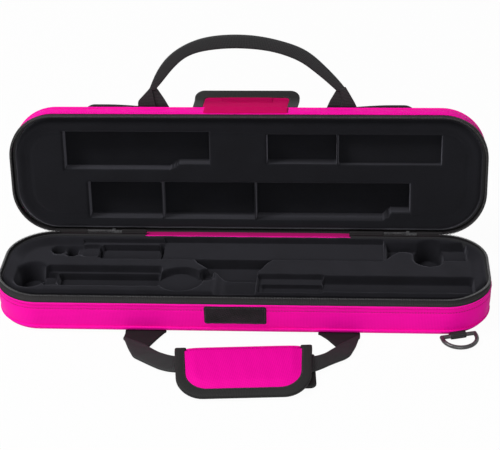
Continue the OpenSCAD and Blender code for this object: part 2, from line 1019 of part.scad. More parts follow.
pocket_y = half_w - pocket_edge - pocket_w / 2;
pocket_wall = 1.4;
pocket_pipe_r = 1.4;
zip_y = pocket_w / 2 - 9;
zip_tape_w = 8;
zip_slot_w = 4;

// Moves shapes to the pocket: z = 0 on the lid's panel, z up away from the case
module on_pocket() {
    on_lid()
        translate([0, pocket_y, 0])
            mirror([0, 0, 1])
                children();
}

// Hollow bag with a slot under its zip
module pocket_bag() {
    slot_l = pocket_zip_l - 2 * zip_slot_w;
    color(pink)
        on_pocket()
            difference() {
                round_plate(pocket_l, pocket_w, pocket_r, pocket_t);
                translate([0, 0, pocket_wall])
                    round_plate(pocket_l - 2 * pocket_wall, pocket_w - 2 * pocket_wall,
                        pocket_r - pocket_wall, pocket_t - 2 * pocket_wall);
                translate([-slot_l / 2, zip_y - zip_slot_w / 2, pocket_t / 2])
                    cube([slot_l, zip_slot_w, pocket_t]);
            }
}

module pocket_piping() {
    color(black)
        on_pocket()
            run_round(pocket_l, pocket_w, pocket_r)
                translate([pocket_r - pocket_pipe_r, pocket_t + pocket_pipe_r])
                    circle(pocket_pipe_r);
}

module pocket_zip() {
    color(black)
        on_pocket()
            translate([-pocket_zip_l / 2, zip_y - zip_tape_w / 2, pocket_t])
                cube([pocket_zip_l, zip_tape_w, tape_t]);
}

pocket_slider_x = -pocket_zip_l / 2 + slider_l;

// Moves shapes to the pocket's zip, turned so that the pull lies towards +X
module on_pocket_zip() {
    on_pocket()
        translate([pocket_slider_x, zip_y, pocket_t + tape_t + slide_gap])
            rotate([0, 0, 180])
                children();
}

module pocket_slider() {
    on_pocket_zip()
        slider_body();
}

module pocket_pull() {
    on_pocket_zip()
        pull_tab();
}

base_side_cover();
base_bottom_cover();
base_piping();
base_frame();
base_insert();
base_zip_tape();
base_zip_teeth();
loop_patch();
hinge_bead();
hinge_tapes();
left_slider();
left_pull();
right_slider();
right_pull();
ring_tab();
strap_ring();
front_anchors();
front_straps();
front_grip();
wrap_back();
wrap_fold();
wrap_loop();
wrap_flap();
wrap_binding();
wrap_hook();
lid_side_cover();
lid_top_cover();
lid_piping();
lid_frame();
lid_insert();
lid_zip_tape();
lid_zip_teeth();
hinge_strip();
rear_anchors();
rear_straps();
rear_grip();
flap_panel();
flap_binding();
flap_hook();
pocket_bag();
pocket_piping();
pocket_zip();
pocket_slider();
pocket_pull();
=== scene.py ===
import json
import math

import bmesh
import bpy
import numpy as np
from mathutils import Matrix, Vector


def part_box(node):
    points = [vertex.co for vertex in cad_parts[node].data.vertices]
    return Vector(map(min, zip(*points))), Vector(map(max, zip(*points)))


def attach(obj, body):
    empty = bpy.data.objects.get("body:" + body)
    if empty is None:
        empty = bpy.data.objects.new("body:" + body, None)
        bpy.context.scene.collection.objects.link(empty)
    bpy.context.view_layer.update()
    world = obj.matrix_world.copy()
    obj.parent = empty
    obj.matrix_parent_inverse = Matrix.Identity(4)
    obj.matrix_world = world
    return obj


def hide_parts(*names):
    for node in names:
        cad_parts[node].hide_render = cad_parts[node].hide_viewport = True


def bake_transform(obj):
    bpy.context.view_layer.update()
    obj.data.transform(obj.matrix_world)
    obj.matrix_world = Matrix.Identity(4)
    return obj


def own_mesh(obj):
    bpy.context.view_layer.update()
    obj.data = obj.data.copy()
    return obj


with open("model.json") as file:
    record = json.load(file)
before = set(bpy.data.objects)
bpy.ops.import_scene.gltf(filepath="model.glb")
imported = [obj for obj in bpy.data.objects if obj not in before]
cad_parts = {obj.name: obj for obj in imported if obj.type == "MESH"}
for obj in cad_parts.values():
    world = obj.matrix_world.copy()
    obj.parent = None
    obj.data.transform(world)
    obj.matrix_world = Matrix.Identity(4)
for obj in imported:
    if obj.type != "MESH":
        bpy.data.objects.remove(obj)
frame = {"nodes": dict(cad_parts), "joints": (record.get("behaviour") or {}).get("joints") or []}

MM = 0.001
UP = np.array([0.0, 0.0, 1.0])
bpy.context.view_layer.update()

# ---- the frame's own places, in millimetres ----

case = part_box("base_side_cover")
HALF_L, HALF_W = case[1][0] / MM, case[1][1] / MM
CORNER_R = 40.0
EDGE_R = case[0][2] / MM
TRAY_WALL = case[1][2] / MM
LID_WALL = 19.8
LID_TAPE = 7.4
ZIP_GAP = 0.4
TRAY_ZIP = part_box("base_zip_teeth")[1][2] / MM
CLOSED_ZIP = TRAY_ZIP + ZIP_GAP
LID_FULL = LID_WALL + LID_TAPE + 0.7
PIPING_R = 0.85
joints = {joint["name"]: joint for joint in frame["joints"]}
HINGE = np.array(joints["lid_hinge"]["pos_m"]) / MM
SWING = math.radians(joints["lid_hinge"]["range_deg"][1])
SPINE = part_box("hinge_bead")[1][0] / MM
END_LEAN = 1.1


# ---- places of the lid, the closure flap, the wrap and the ring; all take and give millimetres ----

def turn_x(points, angle, y=0.0, z=0.0):
    """Turns points about a line along X through (y, z)."""
    p = np.array(points, float)
    c, s = math.cos(angle), math.sin(angle)
    dy, dz = p[..., 1] - y, p[..., 2] - z
    return np.stack([p[..., 0], y + dy * c - dz * s, z + dy * s + dz * c], -1)


def on_tray(points):
    """The tray's frame is the shared one."""
    return np.array(points, float)


def on_lid(points):
    """From the lid's own frame, outside panel at z = 0 and free edge at +Y, to the open lid:
    turned over onto the tray, then swung back about the hinge line."""
    p = np.array(points, float)
    closed = np.stack([p[..., 0], -p[..., 1], CLOSED_ZIP + LID_FULL - p[..., 2]], -1)
    return turn_x(closed, -SWING, HINGE[1], HINGE[2])


FLAP_SEAM = (57.3, 4.05)
FLAP_LEAN = math.radians(94.8)
FLAP_X = -3.5


def on_flap(points):
    """From the flap's frame, x along its seam, y to its tip and z to its inner side."""
    p = turn_x(points, -FLAP_LEAN)
    return on_lid(p + np.array([FLAP_X, *FLAP_SEAM]))


wrap_axis = np.array(joints["wrap_hinge"]["pos_m"]) / MM


def on_wrap(points):
    """From the wrap's frame, x along its fold, y from the fold to the free edge and z up."""
    p = np.array(points, float) * np.array([1, -1, 1])
    return p + wrap_axis


RING_TURN = math.radians(-75)
ring_centre = np.array([HALF_L - CORNER_R, -(HALF_W - CORNER_R), 3.05])
RING_BAR = CORNER_R + 3.6


def on_ring(points):
    """From the ring's frame, x outwards from the corner's middle and y along the ring's bar."""
    p = np.array(points, float)
    c, s = math.cos(RING_TURN), math.sin(RING_TURN)
    turned = np.stack([p[..., 0] * c - p[..., 1] * s, p[..., 0] * s + p[..., 1] * c, p[..., 2]], -1)
    return turned + ring_centre


# ---- curves and noise ----

def smooth(a, b, t):
    """Smoothstep: 0 before a, 1 after b, with level ends."""
    k = np.clip((t - a) / (b - a), 0, 1)
    return k * k * (3 - 2 * k)


def soft_min(a, b, k=1.0):
    """Smaller of two fields, rounded over a band k where they cross."""
    h = np.clip(0.5 + 0.5 * (b - a) / k, 0, 1)
    return b + (a - b) * h - k * h * (1 - h)


def swell(x, y, size, seed, lengths=(37, 61, 23)):
    """Sum of plane waves of the given lengths in seeded directions, scaled to size."""
    r = np.random.default_rng(seed)
    out = np.zeros(np.shape(x))
    for length in lengths:
        angle, phase = r.uniform(0, math.pi), r.uniform(0, 2 * math.pi)
        out = out + np.sin(2 * math.pi * (x * math.cos(angle) + y * math.sin(angle)) / length + phase)
    return out * size / len(lengths)


def fluff(x, y, size, seed, pitch):
    """Value noise: seeded random heights on a square lattice of the given pitch, joined by smoothsteps."""
    table = np.random.default_rng(seed).uniform(-1, 1, (256, 256))
    gx, gy = np.asarray(x) / pitch, np.asarray(y) / pitch
    ix, iy = np.floor(gx).astype(int), np.floor(gy).astype(int)
    fx, fy = smooth(0, 1, gx - ix), smooth(0, 1, gy - iy)
    low = table[ix % 256, iy % 256] * (1 - fx) + table[(ix + 1) % 256, iy % 256] * fx
    high = table[ix % 256, (iy + 1) % 256] * (1 - fx) + table[(ix + 1) % 256, (iy + 1) % 256] * fx
    return (low * (1 - fy) + high * fy) * size


def run_of(points):
    """Length along a curve at each of its points."""
    return np.concatenate([[0], np.cumsum(np.linalg.norm(np.diff(points, axis=0), axis=1))])


def points_at(lengths, run, values):
    """A curve's points, or other values along it, read at the given lengths."""
    return np.stack([np.interp(lengths, run, values[:, k]) for k in range(values.shape[1])], -1)


def drawn(points, count, rounds=2):
    """Evenly spaced curve through typed points: resampled by arc length, then each point is averaged with its
    neighbours."""
    p = np.array(points, float)
    for _ in range(rounds + 1):
        run = run_of(p)
        p = points_at(np.linspace(0, run[-1], count), run, p)
        width = max(1, count // 18)
        padded = np.vstack([2 * p[0] - p[width:0:-1], p, 2 * p[-1] - p[-2:-width - 2:-1]])
        kernel = np.hanning(2 * width + 3)[1:-1]
        kernel /= kernel.sum()
        p = np.stack([np.convolve(padded[:, k], kernel, "valid") for k in range(p.shape[1])], -1)
    return p


def rim(half_l=HALF_L, half_w=HALF_W, r=CORNER_R, step=4.0, corner=18):
    """Rounded rectangle, clockwise from the middle of its +Y side: its points, their outward normals and the
    lengths along it."""
    a, b = half_l - r, half_w - r
    t = np.linspace(0, math.pi / 2, corner, endpoint=False)
    points, normals = [], []
    for middle, end, first in (((a, b), (half_l, -b), math.pi / 2), ((a, -b), (-a, -half_w), 0),
                               ((-a, -b), (-half_l, b), -math.pi / 2), ((-a, b), (0, half_w), math.pi)):
        n = np.stack([np.cos(first - t), np.sin(first - t)], -1)
        out = np.array([math.cos(first - math.pi / 2), math.sin(first - math.pi / 2)])
        start = np.array(middle) + r * out
        way = np.array(end) - start
        count = max(2, int(np.linalg.norm(way) / step))
        points += [np.array(middle) + r * n, start + np.linspace(0, 1, count, endpoint=False)[:, None] * way]
        normals += [n, np.tile(out, (count, 1))]
    count = max(2, int(a / step))
    first_run = np.array([0, half_w]) + np.linspace(0, 1, count, endpoint=False)[:, None] * np.array([a, 0])
    p = np.vstack([first_run] + points)
    n = np.vstack([np.tile([0.0, 1.0], (count, 1))] + normals)
    return p, n, run_of(np.vstack([p, p[:1]]))


def stretch(p, n, keep):
    """The kept part of a closed outline and its normals, turned so that it starts where the part does."""
    start = int(np.argmax(keep(np.roll(p, 1, 0)) < keep(p)))
    p, n = np.roll(p, -start, 0), np.roll(n, -start, 0)
    use = keep(p)
    return p[use], n[use]


# ---- meshes ----

def quads_mesh(name, verts, faces, uv):
    """Mesh from whole arrays in millimetres, with one UV pair for each face corner."""
    verts = np.asarray(verts, np.float32).reshape(-1, 3) * MM
    faces = np.asarray(faces, np.int32).reshape(-1, 4)
    mesh = bpy.data.meshes.new(name)
    mesh.vertices.add(len(verts))
    mesh.vertices.foreach_set("co", verts.ravel())
    mesh.loops.add(faces.size)
    mesh.loops.foreach_set("vertex_index", faces.ravel())
    mesh.polygons.add(len(faces))
    mesh.polygons.foreach_set("loop_start", np.arange(0, faces.size, 4, dtype=np.int32))
    mesh.polygons.foreach_set("use_smooth", np.full(len(faces), True))
    mesh.update(calc_edges=True)
    mesh.uv_layers.new(name="UVMap").data.foreach_set("uv", np.asarray(uv, np.float32).ravel() * MM)
    obj = bpy.data.objects.new(name, mesh)
    bpy.context.scene.collection.objects.link(obj)
    return obj


def surface(name, points, uv, loop=False, tube=False):
    """Quads over a grid of points. loop joins the last row to the first, tube the last column to the first;
    the uv grid has one more row or column there."""
    rows, cols = points.shape[:2]
    a, b = np.meshgrid(np.arange(rows if loop else rows - 1), np.arange(cols if tube else cols - 1),
                       indexing="ij")
    c, d = (a + 1) % rows, (b + 1) % cols
    faces = np.stack([a * cols + b, c * cols + b, c * cols + d, a * cols + d], -1)
    corners = np.stack([uv[a, b], uv[a + 1, b], uv[a + 1, b + 1], uv[a, b + 1]], 2)
    return quads_mesh(name, points, faces, corners)


def tidy_mesh(obj, sharp_close=False):
    """Merges doubled points, closes any open edge loop with one face and points the faces outwards."""
    mesh = bmesh.new()
    mesh.from_mesh(obj.data)
    bmesh.ops.remove_doubles(mesh, verts=mesh.verts, dist=1e-6)
    if sharp_close:
        edges = [e for e in mesh.edges if e.is_boundary]
        made = bmesh.ops.edgeloop_fill(mesh, edges=edges)["faces"]
        for face in made:
            face.smooth = False
    bmesh.ops.recalc_face_normals(mesh, faces=mesh.faces)
    mesh.to_mesh(obj.data)
    mesh.free()
    return obj


def finish(obj, material, body, slot, *nodes):
    """Gives a piece its material and body, and hides the nodes that it stands for. slot is not used."""
    obj.data.materials.append(material)
    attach(obj, body)
    if nodes:
        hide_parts(*nodes)
    return obj


def drawn_in(n, up, top):
    """Inward lean of the walls at the two ends: none at a height top and full at the outside panel."""
    return -END_LEAN * np.abs(n[..., 0]) ** 1.5 * np.clip((top - up) / (top - EDGE_R), 0, 1)


def around(name, profile, place, path=None, keep=None, wobble=0.0, seed=0, top=None, lean=None):
    """Carries a closed profile of (outward, up) points round a rounded rectangle. keep picks a stretch of it,
    wobble pushes it in and out along its length, top draws the ends in below that height, and lean is another
    outward column with the share of it that holds at each point."""
    p, n, s = path or rim()
    profile = np.array(profile, float)
    if keep is not None:
        p, n = stretch(p, n, keep)
        s = run_of(p)
    shift = swell(s[:len(p)], 0 * s[:len(p)], wobble, seed, (53, 97, 31)) if wobble else np.zeros(len(p))
    out = profile[None, :, 0] + shift[:, None]
    if lean is not None:
        out = out + (np.array(lean[0], float) - profile[:, 0])[None] * lean[1](p)[:, None]
    if top is not None:
        out = out + drawn_in(n[:, None], profile[None, :, 1], top)
    flat = p[:, None] + n[:, None] * out[..., None]
    points = np.concatenate([flat, np.broadcast_to(profile[None, :, 1:], flat.shape[:2] + (1,))], -1)
    uv = np.stack(np.meshgrid(s, run_of(np.vstack([profile, profile[:1]])), indexing="ij"), -1)
    obj = surface(name, place(points), uv, loop=keep is None, tube=True)
    return tidy_mesh(obj, sharp_close=keep is not None)


RIBBON_SIDES = 22
GROOVE_W = 0.12


def ribbon(name, edge_a, edge_b, thick, place=on_tray, groove=None, square=0.28):
    """Flat band between two edge curves. Its section is a flattened oval of the given thickness: a circle's
    cosine and sine raised to small powers. groove is a sewn line: its place across, from -1 to 1, and the
    share of the thickness that it takes. The ends are rounded shut."""
    a, b = np.array(edge_a, float), np.array(edge_b, float)
    middle, half = (a + b) / 2, (b - a) / 2
    tangent = np.gradient(middle, axis=0)
    normal = np.cross(half, tangent)
    normal /= np.linalg.norm(normal, axis=1, keepdims=True)
    t = np.linspace(0, 2 * math.pi, RIBBON_SIDES, endpoint=False)
    x = np.sign(np.cos(t)) * np.abs(np.cos(t)) ** square
    z = np.sign(np.sin(t)) * np.abs(np.sin(t)) ** 0.5
    pinch = np.ones(RIBBON_SIDES)
    if groove is not None:
        pinch = 1 - groove[1] * np.exp(-((x - groove[0]) / GROOVE_W) ** 2)
    lift = z * pinch * thick / 2
    body = middle[:, None] + half[:, None] * x[None, :, None] + normal[:, None] * lift[None, :, None]
    step = tangent[[0, -1]] / np.linalg.norm(tangent[[0, -1]], axis=1, keepdims=True) * thick / 3
    near, far = middle[0] - step[0], middle[-1] + step[1]
    first = [near + (body[0] - middle[0]) * k for k in (0, 0.93)]
    last = [far + (body[-1] - middle[-1]) * k for k in (0.93, 0)]
    points = np.concatenate([np.stack(first), body, np.stack(last)])
    width = np.linalg.norm(half, axis=1).mean()
    run = run_of(middle)
    run = np.concatenate([[run[0] - 1, run[0] - 0.5], run, [run[-1] + 0.5, run[-1] + 1]])
    uv = np.stack(np.meshgrid(run, np.append(x, x[0]) * width, indexing="ij"), -1)
    return tidy_mesh(surface(name, place(points), uv, tube=True))


def hump(name, l, w, r, place, height, step=1.0, x_walls=(), y_walls=(), base=None, bent=False):
    """Height map over a rounded rectangle. The grid's lines crowd together at the given walls, and near the
    corners they are pulled onto the round outline. base closes it below at that height, and bent gives the
    underside the top's own lines, for a piece that is bent by its placer."""
    half_l, half_w = l / 2, w / 2

    def lines(half, walls):
        """Even lines with closer ones at the walls, less those that fall too near their neighbour."""
        crowd = np.array([-1.3, -0.8, -0.45, -0.2, 0, 0.2, 0.45, 0.8, 1.3, 2])
        even = np.linspace(-half, half, int(2 * half / step) + 1)
        extra = np.concatenate([v + crowd for v in walls]) if len(walls) else np.array([])
        found = np.unique(np.round(np.concatenate([even, extra[np.abs(extra) < half]]), 2))
        gaps = np.diff(found, prepend=found[0] - 1)
        return found[(gaps > 0.11) | (np.abs(found) == half)]

    x, y = np.meshgrid(lines(half_l, x_walls), lines(half_w, y_walls), indexing="ij")
    over_x, over_y = np.abs(x) - (half_l - r), np.abs(y) - (half_w - r)
    corner = (over_x > 0) & (over_y > 0)
    length = np.where(corner, np.hypot(over_x, over_y), 1)
    pull = np.where(corner, np.maximum(over_x, over_y) / length, 1)
    x = np.where(corner, np.sign(x) * (half_l - r + over_x * pull), x)
    y = np.where(corner, np.sign(y) * (half_w - r + over_y * pull), y)
    points = np.stack([x, y, height(x, y)], -1)
    uv = np.stack([x, y], -1)
    if bent:
        under = np.concatenate([points[..., :2], np.full_like(points[..., :1], base)], -1)
        points = np.concatenate([points, under[:, ::-1]], 1)
        uv = np.concatenate([uv, uv[:, ::-1], uv[:, :1]], 1)
    elif base is not None:
        ring = np.pad(points, ((1, 1), (1, 1), (0, 0)), mode="edge")
        edge = np.ones(ring.shape[:2], bool)
        edge[1:-1, 1:-1] = False
        ring[edge, 2] = base
        points, uv = ring, np.pad(uv, ((1, 1), (1, 1), (0, 0)), mode="edge")
    return tidy_mesh(surface(name, place(points), uv, tube=bent), sharp_close=base is not None)


BEAD_RINGS, BEAD_SIDES = 5, 6


def beads(name, centres, along, up, size, place=on_tray):
    """One mesh of many small rounded beads, for teeth and stitches: a lathe unit of six sides,
    scaled to (length, width, height) and set at each centre."""
    t = np.linspace(0, math.pi, BEAD_RINGS)
    a = np.linspace(0, 2 * math.pi, BEAD_SIDES, endpoint=False)
    ring = np.sin(t) ** 0.6
    unit = np.stack([-np.cos(t)[:, None] * np.ones(BEAD_SIDES), ring[:, None] * np.cos(a),
                     ring[:, None] * np.sin(a)], -1).reshape(-1, 3) * np.asarray(size) / 2
    side = np.cross(up, along)
    verts = (centres[:, None] + unit[None, :, :1] * along[:, None] + unit[None, :, 1:2] * side[:, None]
             + unit[None, :, 2:] * up[:, None])
    idx = np.arange(BEAD_RINGS * BEAD_SIDES).reshape(BEAD_RINGS, BEAD_SIDES)
    nxt = np.roll(idx, -1, axis=1)
    one = np.stack([idx[:-1], nxt[:-1], nxt[1:], idx[1:]], -1).reshape(-1, 4)
    faces = one[None] + (np.arange(len(centres)) * len(unit))[:, None, None]
    uv = np.tile(np.array([[0, 0], [1, 0], [1, 1], [0, 1]]), (faces.size // 4, 1))
    return tidy_mesh(quads_mesh(name, place(verts.reshape(-1, 3)), faces, uv))


DASH_SHARE = 0.62
DASH_REACH = 0.2


def stitches(name, line, up, pitch, place=on_tray, size=0.5):
    """Row of thread dashes along a curve, one to each pitch. Each lies along the line between the curve's
    points a little ahead of it and a little behind."""
    p = np.array(line, float)
    run = run_of(p)
    at = np.arange(pitch / 2, run[-1], pitch)
    centre = points_at(at, run, p)
    ahead = points_at(np.minimum(at + DASH_REACH, run[-1]), run, p)
    along = ahead - points_at(np.maximum(at - DASH_REACH, 0), run, p)
    along /= np.linalg.norm(along, axis=1, keepdims=True)
    upward = np.broadcast_to(np.asarray(up, float), centre.shape)
    return beads(name, centre, along, upward, (pitch * DASH_SHARE, size, size), place)


def in_front(p):
    """1 along the front, 0 along the back and the ends, easing over in the front corners."""
    return smooth(-14, -50, p[..., 1])


def at_ends(p):
    """1 at the two ends and their corners, 0 between them."""
    return smooth(172, 200, np.abs(p[..., 0]))


def rim_line(outward, up, keep=None, top=None, front=None):
    """Curve that follows the case's outline, or a kept stretch of it, at a distance outwards and a height.
    front is the distance along the front, and top draws the ends in below that height."""
    p, n, _ = rim(step=2.0, corner=40)
    if keep is not None:
        p, n = stretch(p, n, keep)
    out = np.full(len(p), float(outward))
    if front is not None:
        out = out + (front - outward) * in_front(p)
    if top is not None:
        out = out + drawn_in(n, np.full(len(p), float(up)), top)
    q = np.column_stack([p + n * out[:, None], np.full(len(p), up)])
    return np.vstack([q, q[:1]]) if keep is None else q


def off_hinge(p):
    """True away from the straight run on the hinge side."""
    return ~((p[:, 1] > HALF_W - 1) & (np.abs(p[:, 0]) < HALF_L - CORNER_R - 1))


def off_free_hinge(p):
    """The same in the lid's own frame, where the hinge side is at -Y."""
    return ~((p[:, 1] < -HALF_W + 1) & (np.abs(p[:, 0]) < HALF_L - CORNER_R - 1))


# ---- materials ----

def new_material(name):
    """Node material with its tree and its shader."""
    material = bpy.data.materials.new(name)
    material.use_nodes = True
    return material, material.node_tree, material.node_tree.nodes["Principled BSDF"]


def texture(tree, kind, vector, **values):
    """Texture node on a vector, with its sockets set by name."""
    n = tree.nodes.new(kind)
    for key, value in values.items():
        n.inputs[key].default_value = value
    tree.links.new(vector, n.inputs["Vector"])
    return n


def sums(tree, operation, *values):
    """Math node over sockets or plain numbers."""
    n = tree.nodes.new("ShaderNodeMath")
    n.operation = operation
    for place, value in enumerate(values):
        if isinstance(value, (int, float)):
            n.inputs[place].default_value = value
        else:
            tree.links.new(value, n.inputs[place])
    return n.outputs[0]


def shades(tree, tone, stops):
    """Colour ramp from (position, colour) stops."""
    n = tree.nodes.new("ShaderNodeValToRGB")
    elements = n.color_ramp.elements
    while len(elements) < len(stops):
        elements.new(0.5)
    for element, (position, colour) in zip(elements, stops):
        element.position, element.color = position, (*colour, 1)
    tree.links.new(tone, n.inputs[0])
    return n.outputs[0]


def relief(tree, shader, height, strength, depth):
    """Bump from a height, in millimetres where it is 1."""
    n = tree.nodes.new("ShaderNodeBump")
    n.inputs["Strength"].default_value = strength
    n.inputs["Distance"].default_value = depth * MM
    tree.links.new(height, n.inputs["Height"])
    tree.links.new(n.outputs[0], shader.inputs["Normal"])


def uv_of(tree):
    """The piece's own UV map, in metres along its surface."""
    n = tree.nodes.new("ShaderNodeUVMap")
    n.uv_map = "UVMap"
    return n.outputs[0]


def object_of(tree):
    """Object coordinates, in metres in the shared frame."""
    return tree.nodes.new("ShaderNodeTexCoord").outputs["Object"]


def cloth(name, dark, light, pitch, angle=45, ribs=False, bump=0.35, rough=0.7, sheen=0.0, tint=(1, 1, 1),
          mottle=0.2, grain=0.3, specular=0.3):
    """Woven fabric on the piece's UV map: the over and under of a plain weave, or ribs across the band, in
    colour and relief, over slow patches of wear and a fine fuzz."""
    material, tree, shader = new_material(name)
    uv = uv_of(tree)
    turned = tree.nodes.new("ShaderNodeMapping")
    turned.inputs["Rotation"].default_value = (0, 0, math.radians(angle))
    turned.inputs["Scale"].default_value = (1 / (pitch * MM), 1 / (pitch * MM), 1)
    tree.links.new(uv, turned.inputs[0])
    split = tree.nodes.new("ShaderNodeSeparateXYZ")
    tree.links.new(turned.outputs[0], split.inputs[0])
    warp = sums(tree, "SINE", sums(tree, "MULTIPLY", split.outputs[0], 2 * math.pi))
    weft = sums(tree, "SINE", sums(tree, "MULTIPLY", split.outputs[1], 2 * math.pi))
    if ribs:
        weave = sums(tree, "ADD", sums(tree, "MULTIPLY", warp, 0.35), sums(tree, "MULTIPLY", weft, 0.15))
    else:
        weave = sums(tree, "MULTIPLY", sums(tree, "MULTIPLY", warp, weft), 0.5)
    weave = sums(tree, "ADD", weave, 0.5)
    worn = texture(tree, "ShaderNodeTexNoise", uv, Scale=45.0, Detail=4.0, Roughness=0.6).outputs[0]
    fuzz = texture(tree, "ShaderNodeTexNoise", uv, Scale=2400.0, Detail=2.0).outputs[0]
    shift = sums(tree, "MULTIPLY", sums(tree, "SUBTRACT", worn, 0.5), mottle * 2)
    fine = sums(tree, "MULTIPLY", sums(tree, "SUBTRACT", fuzz, 0.5), grain)
    tone = sums(tree, "ADD", sums(tree, "ADD", weave, shift), fine)
    tree.links.new(shades(tree, tone, [(0.2, dark), (0.8, light)]), shader.inputs["Base Color"])
    relief(tree, shader, sums(tree, "ADD", weave, fine), bump, 0.25)
    shader.inputs["Roughness"].default_value = rough
    shader.inputs["Specular IOR Level"].default_value = specular
    shader.inputs["Sheen Weight"].default_value = sheen
    shader.inputs["Sheen Roughness"].default_value = 0.45
    shader.inputs["Sheen Tint"].default_value = (*tint, 1)
    return material


def plush(name, dark, light, sheen):
    """Short black pile: dark face on and grey at a slant, brushed unevenly, with a fine nap."""
    material, tree, shader = new_material(name)
    place = object_of(tree)
    brushed = texture(tree, "ShaderNodeTexNoise", place, Scale=42.0, Detail=6.0, Roughness=0.62).outputs[0]
    pile = texture(tree, "ShaderNodeTexNoise", place, Scale=900.0, Detail=4.0, Roughness=0.7).outputs[0]
    tone = sums(tree, "ADD", sums(tree, "MULTIPLY", brushed, 0.55), sums(tree, "MULTIPLY", pile, 0.45))
    tree.links.new(shades(tree, tone, [(0.36, dark), (0.64, light)]), shader.inputs["Base Color"])
    relief(tree, shader, tone, 0.6, 0.5)
    shader.inputs["Roughness"].default_value = 0.95
    shader.inputs["Specular IOR Level"].default_value = 0.15
    shader.inputs["Sheen Weight"].default_value = sheen
    shader.inputs["Sheen Roughness"].default_value = 0.5
    shader.inputs["Sheen Tint"].default_value = (0.86, 0.85, 1.0, 1)
    return material


def hard(name, dark, light, rough, metallic=0.0, scale=700.0):
    """Thread, plastic or metal: scuffs in colour and relief."""
    material, tree, shader = new_material(name)
    scuffs = texture(tree, "ShaderNodeTexNoise", object_of(tree), Scale=scale, Detail=4.0).outputs[0]
    tree.links.new(shades(tree, scuffs, [(0.35, dark), (0.7, light)]), shader.inputs["Base Color"])
    relief(tree, shader, scuffs, 0.1, 0.1)
    shader.inputs["Roughness"].default_value = rough
    shader.inputs["Metallic"].default_value = metallic
    return material


pink_nylon = cloth("pink_nylon", (0.78, 0.0012, 0.29), (0.94, 0.0025, 0.40), 1.7, rough=0.6, bump=0.3,
                   mottle=0.16, specular=0.05, sheen=0.08, tint=(1, 0.45, 0.95))
# Darker pink copy of the cover nylon for the open closure flap and its root: painted shade.
pink_flap_painted_shade = cloth("pink_flap_painted_shade", (0.46, 0.0008, 0.075), (0.58, 0.0015, 0.115), 1.5, rough=0.7,
                        bump=0.3, mottle=0.2, specular=0.03)
pink_wrap_nylon = cloth("pink_wrap_nylon", (0.68, 0.0010, 0.25), (0.84, 0.0018, 0.345), 2.1, angle=56,
                        bump=0.5, rough=0.55, mottle=0.1, specular=0.05)
# Darker, duller pink copy of the cover nylon for the hinge strip between lid and tray: painted shade.
shaded_nylon = cloth("painted_shade_nylon", (0.28, 0.004, 0.085), (0.38, 0.008, 0.125), 1.5, rough=0.8, bump=0.3,
                     mottle=0.25, specular=0.02)
pink_thread = hard("pink_thread", (0.20, 0.001, 0.06), (0.36, 0.002, 0.11), 0.7)
webbing = cloth("black_webbing", (0.006, 0.006, 0.0064), (0.021, 0.021, 0.022), 1.4, angle=0, ribs=True,
                bump=0.6, rough=0.6, mottle=0.12, specular=0.2)
# Darker copy of the black webbing for the front handle's feet and anchors: painted shade.
shaded_webbing = cloth("painted_shade_webbing", (0.004, 0.0038, 0.004), (0.014, 0.0135, 0.014), 1.4, angle=0,
                       ribs=True, bump=0.6, rough=0.7, mottle=0.12, specular=0.12)
binding_tape = cloth("black_binding", (0.0045, 0.0045, 0.0045), (0.0155, 0.0152, 0.0152), 1.3, angle=0,
                     ribs=True, bump=0.7, rough=0.65, mottle=0.12, specular=0.18)
zip_cloth = cloth("zip_tape_cloth", (0.004, 0.0035, 0.004), (0.017, 0.0155, 0.0165), 1.5, angle=0, ribs=True,
                  bump=0.6, rough=0.65, mottle=0.15, specular=0.15)
black_thread = hard("black_thread", (0.012, 0.012, 0.012), (0.04, 0.04, 0.04), 0.6)
teeth_nylon = hard("teeth_nylon", (0.03, 0.03, 0.031), (0.09, 0.09, 0.093), 0.4)
shaded_teeth = hard("shaded_teeth", (0.012, 0.012, 0.012), (0.03, 0.03, 0.03), 0.5)
tray_plush = plush("tray_plush", (0.0018, 0.0017, 0.0028), (0.0050, 0.0048, 0.0070), 0.135)
lid_plush = plush("lid_plush", (0.0009, 0.0010, 0.0018), (0.0027, 0.0029, 0.0044), 0.215)
loop_pile = cloth("loop_pile", (0.0012, 0.0008, 0.0011), (0.017, 0.012, 0.016), 2.6, angle=20, bump=1.0,
                  rough=0.95, mottle=1.2, grain=0.9)
hook_pile = cloth("hook_pile", (0.006, 0.006, 0.006), (0.03, 0.03, 0.03), 1.2, angle=0, bump=1.0, rough=0.8)
pink_hooks = cloth("pink_hooks", (0.42, 0.0008, 0.068), (0.54, 0.0013, 0.105), 1.2, angle=0, bump=0.6,
                   rough=0.8, specular=0.03)
nickel = hard("worn_nickel", (0.05, 0.05, 0.052), (0.13, 0.13, 0.135), 0.45, metallic=0.35)
black_wire = hard("black_wire", (0.018, 0.017, 0.018), (0.045, 0.043, 0.045), 0.3, scale=300.0)
dark_lining = cloth("dark_lining", (0.010, 0.010, 0.011), (0.02, 0.02, 0.022), 1.2)


# ---- case: fabric, piping, tapes and teeth ----

def wall_profile(top, fold_down, seam, bulge, hem):
    """Wall section from the piping up: a soft bulge with a crease along the seam, the fold of the hem, its
    rolled top edge, and back down inside."""
    fold = top - fold_down
    z = np.linspace(EDGE_R, fold - 0.3, 36)
    t = (z - EDGE_R) / (fold - 0.3 - EDGE_R)
    crease = 0.35 * np.exp(-((z - seam) / 0.55) ** 2)
    outer = np.column_stack([bulge * np.sin(math.pi * t) ** 0.7 - crease, z])
    rest = [(-0.2, fold - 0.1), (0.0, fold + 0.1), (hem, fold + 0.35), (hem + 0.1, (fold + top) / 2),
            (hem, top - 0.35), (0, top - 0.05), (-1.1, top), (-1.1, EDGE_R)]
    return np.vstack([outer, rest])


